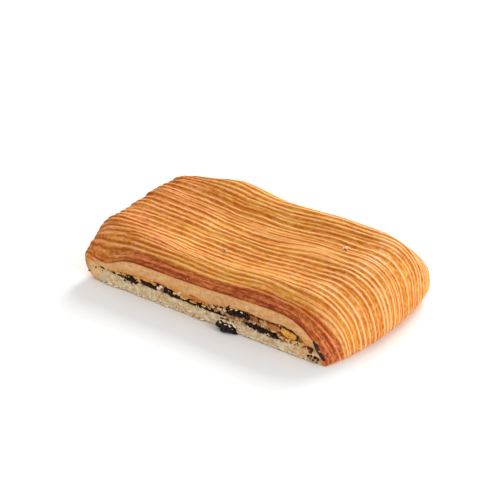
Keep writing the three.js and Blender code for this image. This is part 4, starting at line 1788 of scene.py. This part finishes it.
# The lumps and flakes of the shown cut side that have a place of their own.
SHOWN_MORSELS = tuple(
    Morsel(*numbers)
    for numbers in (
        # specks in the seam at the left, as far as the first clump
        (-62.3, 6.4, 0.9, 1.1, 0, 0.1), (-58.3, 7.5, 2.6, 1.1, -8, 0.05), (-54.6, 7.3, 1.5, 0.9, -10, 0.08),
        (-51.5, 6.8, 1.6, 0.7, -5, 0.08), (-48.6, 6.6, 1.6, 0.8, 0, 0.05), (-46.4, 6.6, 2, 1, 0, 0.05),
        # the two clumps of chocolate and the pale crumbs round them
        (-43.4, 6.6, 4.6, 1.7, -5, 0.02), (-40.4, 6.8, 4.8, 2.5, -8, 0.01), (-37.6, 6.3, 3.2, 1.8, 0, 0.04),
        (-44.6, 5.2, 1.6, 0.9, 0, 0.12), (-41, 5.1, 1.7, 0.9, 0, 0.1), (-33.0, 7.8, 3.8, 2.0, 4, 0.01),
        (-30.0, 7.7, 4.4, 2.3, -8, 0.02), (-27.2, 7.2, 3.2, 1.8, -12, 0.01),
        (-36.0, 7.8, 2.6, 1.7, 0, 0.7, 0.3, 0.1), (-35.6, 6.2, 2.8, 1.2, 10, 0.82, 0, 0.1),
        (-46.8, 5.6, 1.8, 1.0, 0, 0.8), (-38.2, 8.6, 3, 1.1, -10, 0.7, 0.3, 0.1),
        (-31.6, 6.1, 3.4, 0.8, -4, 0.78, 0, 0.1), (-27.2, 5.9, 3.4, 0.8, -4, 0.86, 0, 0.1),
        (-49.4, 7.6, 3, 1.1, -4, 0.74, 0.3, 0.1), (-45.2, 8.1, 3.2, 0.9, 4, 0.7, 0.4, 0.1),
        (-24.6, 6.2, 2.6, 0.9, 6, 0.85, 0, 0.1),
        # the third clump, running down to the right, with pale crumbs before and over it
        (-19.8, 8.3, 3.4, 1.9, -36, 0.02, 0, 0.1), (-17.4, 6.9, 3.6, 1.9, -28, 0.01, 0, 0.1),
        (-24.4, 7.9, 2.2, 1.5, 10, 0.92, 0, 0.1), (-22.9, 8.9, 2.2, 1.3, -20, 0.96, 0, 0.15),
        (-22.6, 7.2, 1.6, 1.0, 0, 0.6),
        # baked cream above the second clump, then pale crumbs
        (-32.4, 9.6, 5.4, 1.5, -2, 0.64, 0.85, 0.15), (-27.8, 9.2, 4.6, 1.4, -8, 0.6, 0.7, 0.1),
        (-36.4, 9.2, 3.4, 1.1, 4, 0.72, 0.5, 0.12), (-24.4, 9.6, 2.2, 0.9, -20, 0.06),
        (-18.6, 10.0, 2.2, 1.2, -15, 0.7, 0.7, 0.1), (-14.6, 10.3, 5.6, 1.5, -12, 0.62, 0.9, 0.2),
        (-14.8, 8.4, 2.4, 1.4, 0, 0.82, 0.1, 0.1), (-12.6, 9.2, 2.4, 1.2, 20, 0.88, 0.1, 0.15),
        (-13, 8.3, 2.2, 1.3, 0, 0.7, 0.3), (-11, 7.9, 2, 1.1, 0, 0.8),
        # the thin line of chocolate
        (-22, 6.5, 3.4, 0.6, -3, 0.04), (-14, 6.3, 5, 0.75, 0, 0.04), (-9.5, 6.3, 5, 0.65, 0, 0.03),
        (-5, 6.2, 5, 0.75, 0, 0.03), (-1, 6.2, 4, 0.8, -3, 0.05), (3.5, 6.1, 5, 0.75, 0, 0.03),
        (8, 6.2, 5, 0.8, 0, 0.04), (12, 6.4, 4, 0.9, 5, 0.05),
        # patches of orange cream
        (-8.4, 8.6, 4, 1.7, -8, 0.62, 0.7), (-3.0, 9.5, 7, 2.3, -10, 0.52, 1, 0.15),
        (2.6, 9.0, 4.4, 1.7, -8, 0.58, 0.9, 0.1), (-9.8, 7.4, 4, 1.1, 0, 0.76, 0.3),
        (-4.5, 7.3, 4, 1.0, 0, 0.7, 0.4), (1.5, 7.3, 3, 1.0, 0, 0.8, 0.2),
        # mixed crumbs before the chip, with the flake that sticks up
        (4.5, 7.8, 2.6, 1.8, 15, 0.5, 0.2), (6.8, 8.7, 2.4, 1.7, -20, 0.76),
        (8.6, 7.6, 2.8, 1.7, 10, 0.52, 0.1), (10.6, 8.7, 2.6, 1.8, 30, 0.8),
        (12.4, 7.8, 2.6, 1.8, -10, 0.66), (7.6, 9.6, 2, 0.8, 0, 0.1), (11.6, 9.9, 2.2, 0.9, 10, 0.06),
        (13.6, 9.1, 2, 1.5, 0, 0.84), (15.2, 11.0, 3.8, 0.8, 46, 0.06, 0, 0.2),
        (13.8, 11.4, 1.3, 0.7, -20, 0.1),
        # the chip and the crumbs on and under it
        (15.9, 9.0, 3.6, 1.7, -20, 0.02), (18.3, 9.6, 4.8, 2.2, -6, 0.01), (21.5, 9.8, 4.8, 2.1, -5, 0.02),
        (24.5, 9.6, 4.2, 1.9, -14, 0.01), (26.8, 9.2, 2.8, 1.4, -20, 0.04), (20, 11.1, 1.6, 0.8, 20, 0.95),
        (23, 11.0, 1.4, 0.8, -10, 0.92), (17.2, 10.6, 1.2, 0.8, 0, 0.9), (16, 7.3, 2.4, 1.4, 0, 0.64),
        (18.4, 7.5, 2.6, 1.5, 10, 0.5, 0.1), (20.8, 7.1, 2.8, 1.8, -10, 0.74, 0.4),
        (23.3, 7.7, 2.4, 1.5, 0, 0.62, 0.1), (22, 6.0, 2.4, 1.2, 0, 0.84), (25.4, 7.8, 2.4, 1.4, 10, 0.45),
        # the browned lump of cream and the grey crumbs
        (29.8, 10.4, 5, 2.3, -10, 0.42, 0.6), (29.2, 11.6, 3.6, 0.6, 4, 0.1),
        (32.3, 10.9, 2, 0.7, -42, 0.1), (27.6, 8.5, 2.6, 1.6, 0, 0.55), (30, 8.4, 2.8, 1.7, 10, 0.68),
        (32.6, 8.8, 2.6, 1.7, -10, 0.52), (34.8, 8.4, 2.6, 1.6, 20, 0.7), (37, 8.6, 2.4, 1.5, 0, 0.55),
        (33.9, 10.2, 2.4, 1.4, -10, 0.6, 0.2), (36.2, 9.9, 2.4, 1.4, 0, 0.72, 0.2),
        # the thick chocolate
        (27, 6.7, 4, 2.2, -5, 0.04), (30, 6.7, 4.8, 2.7, -5, 0.02), (33.4, 6.5, 5.2, 2.9, -8, 0.01),
        (36.9, 6.2, 5.2, 2.7, -6, 0.02), (40.2, 5.9, 4.8, 2.1, -6, 0.02), (42.7, 5.6, 2.8, 1.3, -5, 0.06),
        # browned cream, then the yellow pocket with its dark rim
        (38.8, 9.6, 4.6, 2.4, -5, 0.5, 0.7), (42.2, 9.8, 4.4, 2.3, -15, 0.54, 0.8),
        (40.6, 8.0, 3.4, 1.4, 0, 0.72, 0.3), (41.6, 11.2, 4.6, 0.6, -12, 0.08),
        (44.2, 10.4, 1.8, 0.7, -50, 0.1), (47.6, 9.5, 5.6, 3.0, -10, 0.72, 1),
        (51.1, 8.9, 4.4, 2.8, -18, 0.68, 1), (49.5, 7.6, 5, 1.4, -8, 0.64, 0.9),
        (47.2, 11.3, 4.8, 0.6, -8, 0.08), (51, 10.8, 4, 0.6, -22, 0.1), (53.6, 9.3, 0.9, 2.2, 0, 0.12),
        (52.6, 7.4, 2.6, 0.9, 20, 0.14),
        # orange and pale crumbs under the pocket
        (43.5, 7.6, 2.6, 0.9, -5, 0.5, 0.9), (46.5, 6.9, 3, 0.9, -5, 0.48, 0.9),
        (44.8, 6.3, 3, 1.0, 0, 0.84, 0.4), (48.2, 6.1, 3.4, 1.1, 0, 0.8, 0.5),
        (51.8, 6.4, 3, 1.2, 0, 0.76, 0.6), (55, 6.4, 3, 1.3, -10, 0.82, 0.4),
        (56.7, 7.0, 2.2, 1.2, -30, 0.6, 0.8), (45.6, 5.3, 3, 0.7, 0, 0.52, 0.6),
        (49.5, 5.2, 3, 0.6, 0, 0.5, 0.6),
        # flakes and specks at the right end
        (59.6, 6.4, 1.4, 2.0, 10, 0.3, 0, 0.4), (61.2, 5.9, 1.5, 2.8, 12, 0.16, 0, 0.45),
        (60.3, 4.5, 1.4, 1.1, 0, 0.36, 0, 0.4), (59.8, 2.8, 1.2, 1.1, 0, 0.08, 0, 0.5),
        (61.5, 3.4, 1.3, 1.2, 0, 0.02, 0, 0.5), (63.2, 3.0, 1.4, 1.5, 0, 0.02, 0, 0.45),
        (64.7, 2.5, 1.2, 1.3, 0, 0.06, 0, 0.3), (62.2, 1.4, 1, 0.7, 0, 0.08, 0, 0.5),
        (63.9, 0.9, 0.9, 0.6, 0, 0.1, 0, 0.4), (60.6, 1.5, 0.8, 0.6, 0, 0.16, 0, 0.5),
        # pale crumb that hangs over the lump at the foot, and a speck near the left foot
        (11.8, 3.6, 3.2, 1.6, -30, 0.95, 0, 0.6), (14.2, 4.3, 3, 1.3, -8, 0.9, 0, 1.0),
        (16.8, 4.4, 3, 1.2, 8, 0.94, 0, 1.0), (19.2, 3.8, 2.6, 1.3, -30, 0.9, 0, 0.7),
        (14.6, 3.2, 1.6, 0.5, 30, 0.98, 0, 2.6), (17, 3.1, 1.4, 0.5, -30, 0.95, 0, 2.5),
        (-55.3, 1.1, 1.2, 0.7, 0, 0.12, 0, 0.5), (-66.6, 3.4, 1.7, 0.5, 24, 0.2, 0, 0.35),
        (12.2, 5.0, 2.2, 1.0, 20, 0.4, 0, 0.3), (15.4, 5.2, 2.4, 0.9, -10, 0.3, 0, 0.3),
        (18.2, 5.2, 2, 1.0, 30, 0.5, 0, 0.35), (20.6, 4.9, 2, 0.9, -20, 0.7, 0, 0.4),
        (13.2, 3.7, 2.6, 0.6, -38, 0.88, 0, 2.5), (18.6, 3.4, 2.8, 0.7, -35, 0.93, 0, 2.4),
        (15.9, 3.8, 2.4, 0.5, 15, 0.9, 0, 2.6), (14.2, 3.0, 2.4, 0.45, -30, 0.92, 0, 3.3),
        # torn flakes along the foot
        (-53, 1.3, 3.4, 1.0, -20, 0.95, 0, 0.9), (-49.6, 0.9, 3, 0.9, 12, 0.97, 0, 0.9),
        (-51.2, 2.4, 2.6, 0.7, -8, 0.92, 0, 0.6), (-33, 0.8, 3, 0.8, 6, 0.9, 0, 0.6),
        (-19.8, 0.7, 3.2, 0.8, -10, 0.92, 0, 0.8), (-1.7, 1.5, 2.6, 1.8, 40, 0.82, 0, 0.7),
        (1.2, 0.9, 2.6, 1.0, 20, 0.96, 0, 1.0), (4.4, 1.9, 2.8, 0.9, -15, 0.9, 0, 0.6),
        (29, 1.2, 4, 0.7, -8, 0.95, 0, 0.7), (36, 1.0, 3.6, 0.7, 4, 0.93, 0, 0.6),
        (45, 1.3, 3.4, 0.8, -12, 0.95, 0, 0.6), (52, 1.0, 2.6, 0.8, 10, 0.9, 0, 0.6),
    )
)
SHOWN_CRUMBS = (
    Cluster(-47, -38, 5.4, 7.6, 14, 0.9, 0.04),
    Cluster(-35, -25, 6.4, 8.4, 16, 0.9, 0.04),
    Cluster(-50, -36, 6.6, 8.6, 14, 0.8, 0.74, yolk=0.2),
    Cluster(-23, -12, 7.0, 9.4, 14, 0.9, 0.84),
    Cluster(-18, 3, 7.0, 9.8, 16, 0.9, 0.6, yolk=0.7),
    Cluster(2, 15, 6.6, 9.8, 30, 1.0, 0.62),
    Cluster(3, 15, 6.6, 10.2, 16, 0.8, 0.04),
    Cluster(14, 28, 8.6, 10.8, 12, 0.9, 0.03),
    Cluster(15, 43, 6.8, 11.0, 40, 0.9, 0.62),
    Cluster(20, 43, 7.2, 11.2, 14, 0.8, 0.08),
    Cluster(26.5, 43, 5.0, 7.6, 14, 1.1, 0.03),
    Cluster(42, 57, 5.0, 7.6, 30, 0.9, 0.8, yolk=0.4),
    Cluster(57, 64, 1.5, 7.0, 14, 0.7, 0.5, proud=0.4),
)
BACK_CRUMBS = (
    Cluster(-46, -22, 6.2, 8.6, 40, 1.1, 0.04),
    Cluster(-22, 6, 6.4, 8.4, 40, 1.0, 0.55),
    Cluster(6, 27, 6.4, 9.8, 40, 1.1, 0.5),
    Cluster(27, 44, 5.0, 8.0, 30, 1.2, 0.05),
    Cluster(30, 54, 6.5, 10.0, 40, 1.0, 0.7, yolk=0.5),
)
TORN_DOUGH = (
    Cluster(-60, 60, 0.6, 5.4, 150, 1.5, 0.93, flat=0.35, proud=0.3, variety=0.06),
    Cluster(-56, 56, 4.6, 6.2, 70, 1.4, 0.88, flat=0.4, proud=0.2, variety=0.08),
    Cluster(-40, 52, 8.8, 11.6, 40, 1.1, 0.8, flat=0.4, proud=0.05),
    Cluster(-60, 62, 0.2, 1.0, 110, 1.5, 0.92, flat=0.5, proud=0.4, variety=0.06),
)


def behind_the_opening(opening: Opening) -> tuple[Morsel, ...]:
    """Lumps of the back cut side: those of the shown one, turned about and kept under the roof.

    Args:
        opening: The opening that holds them.

    Returns:
        The lumps.
    """
    inner = (m for m in SHOWN_MORSELS if abs(m.x) < 46 and m.proud == 0)
    moved = (replace(m, x=1.6 - 0.96 * m.x) for m in inner)
    return tuple(replace(m, z=min(m.z, float(opening.roof_at_face(np.array(m.x))) - 0.6)) for m in moved)


@dataclass(frozen=True)
class Flake:
    """A loose flake on the skin: its place, its size, its turn and its shade."""

    x: float
    y: float
    length: float
    width: float
    turn: float
    shade: float


@dataclass
class SkinFlakes:
    """The few loose flakes that lie on the ridges."""

    form: SleeveForm
    flakes: tuple[Flake, ...] = (
        Flake(41.75, 10.2, 2.5, 1.0, 62, 0.86),
        Flake(42.6, 9.4, 1.4, 0.7, 10, 0.8),
        Flake(-8.3, -12.3, 2.8, 0.6, -8, 0.84),
        Flake(-6.2, -13.4, 1.8, 0.5, 20, 0.8),
    )
    thickness: float = 0.8
    above_crests: float = 0.1

    def build(self, material: Material) -> Piece:
        """Lays every flake on the skin.

        Args:
            material: Their finish.

        Returns:
            The finished piece.
        """
        bm = new_crumb_mesh()
        for number, flake in enumerate(self.flakes):
            t = np.array(flake.y / self.form.half_width)
            z = float(self.form.top(np.array(flake.x), t, self.form.ends(t)))
            place = Matrix.Translation((flake.x, flake.y, z + self.above_crests))
            place = place @ Matrix.Rotation(math.radians(flake.turn), 4, "Z")
            shape = Matrix.Diagonal((flake.length, flake.width, self.thickness, 1.0))
            add_crumb(bm, place @ shape, 3, (flake.shade, 0.0), 31 + 5 * number)
        return settle(finish_mesh(bm, "skin_flakes", material), "crust")


# ---- the studio -------------------------------------------------------------------------------


@dataclass(frozen=True)
class SoftLight:
    """A round soft light: its place in metres, its width and its power."""

    name: str
    place: Triple
    size: float
    power: float
    tint: Triple = (1.0, 0.99, 0.97)
    looks_at: Triple = (0.0, 0.0, 0.01)

    def hang(self) -> None:
        """Hangs the light, turned to the pastry."""
        data = bpy.data.lights.new(self.name, "AREA")
        data.shape = "DISK"
        data.size = self.size
        data.energy = self.power
        data.color = self.tint
        light = bpy.data.objects.new(self.name, data)
        light.location = self.place
        towards = Vector(self.looks_at) - Vector(self.place)
        light.rotation_euler = towards.to_track_quat("-Z", "Y").to_euler()
        bpy.context.scene.collection.objects.link(light)


@dataclass(frozen=True)
class Studio:
    """Pale floor, soft light and the camera at the photograph's angle."""

    azimuth: float = 38.8
    elevation: float = 26.37
    distance: float = 0.95
    focal_pixels: float = 2111.9
    centre_pixels: tuple[float, float] = (256.8, 264.4)
    image_pixels: float = 500.0
    sensor: float = 36.0
    aim: Triple = (-0.002198, 0.001927, 0.012)
    floor_reach: float = 4.0
    floor_dull: Colour = (0.93, 0.93, 0.93, 1.0)
    floor_bright: Colour = (0.94, 0.94, 0.94, 1.0)
    surroundings: Colour = (1.0, 1.0, 1.0, 1.0)
    surroundings_strength: float = 0.64
    soft_lights: tuple[SoftLight, ...] = (
        SoftLight("key_light", (-0.32, 1.38, 0.8), 0.8, 28.0),
        SoftLight("right_light", (1.7, -0.1, 0.8), 0.9, 17.0),
    )

    def camera(self) -> None:
        """Places the camera."""
        data = bpy.data.cameras.new("camera")
        data.sensor_width = self.sensor
        data.lens = self.sensor * self.focal_pixels / self.image_pixels
        data.shift_x = (self.image_pixels / 2 - self.centre_pixels[0]) / self.image_pixels
        data.shift_y = (self.centre_pixels[1] - self.image_pixels / 2) / self.image_pixels
        data.clip_start, data.clip_end = 0.05, 50.0
        camera = bpy.data.objects.new("camera", data)
        a, e = math.radians(self.azimuth), math.radians(self.elevation)
        back = Vector((math.sin(a) * math.cos(e), -math.cos(a) * math.cos(e), math.sin(e)))
        camera.location = Vector(self.aim) + back * self.distance
        camera.rotation_euler = (-back).to_track_quat("-Z", "Y").to_euler()
        bpy.context.scene.collection.objects.link(camera)
        bpy.context.scene.camera = camera

    def floor(self) -> None:
        """Lays the floor."""
        r = Recipe("floor_paper")
        tooth = r.noise(r.object_place(), 60.0, 2.0)
        colour = r.blend(r.spread(tooth, (0.3, 0.7), (0.0, 1.0)), self.floor_dull, self.floor_bright)
        r.surface(colour, r.spread(tooth, (0.3, 0.7), (0.9, 0.85)))
        r.gloss(0.0)
        bm = bmesh.new()
        bmesh.ops.create_grid(bm, x_segments=4, y_segments=4, size=self.floor_reach)
        link_mesh(bm, "floor", r.material)

    def lights(self) -> None:
        """Lights the scene."""
        world = bpy.data.worlds.new("studio")
        world.use_nodes = True
        background = world.node_tree.nodes["Background"]
        background.inputs["Color"].default_value = self.surroundings
        background.inputs["Strength"].default_value = self.surroundings_strength
        bpy.context.scene.world = world
        for light in self.soft_lights:
            light.hang()
        bpy.context.scene.view_settings.view_transform = "Standard"


# ---- the whole ----------------------------------------------------------------------------------


def clear_scene() -> None:
    """Empties the scene that Blender opens with."""
    for item in list(bpy.data.objects):
        bpy.data.objects.remove(item)


@dataclass
class PainSuisse:
    """The whole pastry, from the dough in to the filling and out to the crumbs."""

    form: SleeveForm = SleeveForm()
    opening: Opening = Opening()

    def dough(self) -> Iterator[Piece]:
        """Builds the sleeve, then the crumb at both cut sides.

        Returns:
            The pieces, one after another.
        """
        yield DoughSleeve(self.form, self.opening).build(BakedDough().build())
        upper, lower = UPPER_CRUMB.build(), LOWER_CRUMB.build()
        upper_strip = {"left": -63.8, "right": 65.8, "rough": 0.2, "ragged": 0.26, "pit_shade_strength": 0.25}
        lower_strip = {"left": -65.6, "right": 66.4, "rough": 1.0, "ragged": 0.55, "pit_shade_strength": 0.45}
        for side, label in ((Side.SHOWN, "front"), (Side.BACK, "back")):
            strip = CutLayer(self.form, self.opening, side, Layer.UPPER, seed=50 + side.value, **upper_strip)
            yield strip.build(f"upper_layer_{label}", upper)
            strip = CutLayer(self.form, self.opening, side, Layer.LOWER, seed=70 + side.value, **lower_strip)
            yield strip.build(f"lower_layer_{label}", lower)

    def filling(self) -> Iterator[Piece]:
        """Builds the two layers of filling, then the broken chocolate.

        Returns:
            The pieces, one after another.
        """
        form, opening = self.form, self.opening
        run, broken = RUN_CHOCOLATE.build(), BROKEN_CHOCOLATE.build()
        chocolate = FillingLayer(
            form,
            left=-50,
            right=opening.chocolate_right,
            low=opening.chocolate_low,
            high=opening.chocolate_high,
            rough=0.55,
            set_back=0.9,
            shade=plain_dust,
            seed=81,
        )
        yield chocolate.build("chocolate", run, "dust", "chocolate")
        cream = FillingLayer(
            form,
            left=-23,
            right=56,
            low=opening.cream_low,
            high=opening.cream_high,
            rough=0.7,
            set_back=0.7,
            shade=cream_dryness,
            seed=91,
        )
        yield cream.build("pastry_cream", SetCream().build(), "dry", "cream")
        face = -form.half_width
        lump_at, lump_half = (15.6, face - 1.0, 1.85), (5.7, 3.1, 1.9)
        chip_at, chip_half = (20.8, face + 1.6, 9.6), (5.0, 3.0, 1.5)
        streak_at, streak_half = (64.8, face + 0.15, 6.15), (5.1, 1.3, 0.42)
        for bit in (
            BrokenBit("chocolate_lump", lump_at, lump_half, turn=6, seed=11, rough=0.2, crags=0.26),
            BrokenBit("chocolate_chip", chip_at, chip_half, turn=-8, seed=23, rough=0.2),
            BrokenBit("chocolate_streak", streak_at, streak_half, turn=51, seed=37, rough=0.08, crags=0.06),
        ):
            yield bit.build(broken)

    def crumbs(self) -> Iterator[Piece]:
        """Strews the crumbs at both cut sides and the flakes on the skin.

        Returns:
            The pieces, one after another.
        """
        finish, face = CrumbMix().build(), self.form.half_width
        behind = behind_the_opening(self.opening)
        shown, back = Side.SHOWN, Side.BACK
        crumbs = Crumbs("filling_crumbs_front", SHOWN_CRUMBS, SHOWN_MORSELS, shown, face, seed=5)
        yield crumbs.build(finish, "chocolate")
        crumbs = Crumbs("filling_crumbs_back", BACK_CRUMBS, behind, back, face - 0.35, seed=6)
        yield crumbs.build(finish, "chocolate")
        yield Crumbs("torn_dough_front", TORN_DOUGH, (), shown, face, seed=7).build(finish, "crust")
        yield SkinFlakes(self.form).build(finish)
        yield Crumbs("torn_dough_back", TORN_DOUGH, (), back, face - 0.3, seed=8).build(finish, "crust")


def main() -> None:
    """Builds the pain suisse and its studio."""
    logging.basicConfig(level=logging.INFO, format="%(message)s")
    clear_scene()
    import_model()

    studio = Studio()
    studio.camera()
    studio.floor()
    studio.lights()
    pastry = PainSuisse()
    for piece in (*pastry.dough(), *pastry.filling(), *pastry.crumbs()):
        LOG.info("%s: %d triangles", piece.name, sum(len(p.vertices) - 2 for p in piece.data.polygons))


if __name__ == "__main__":
    main()
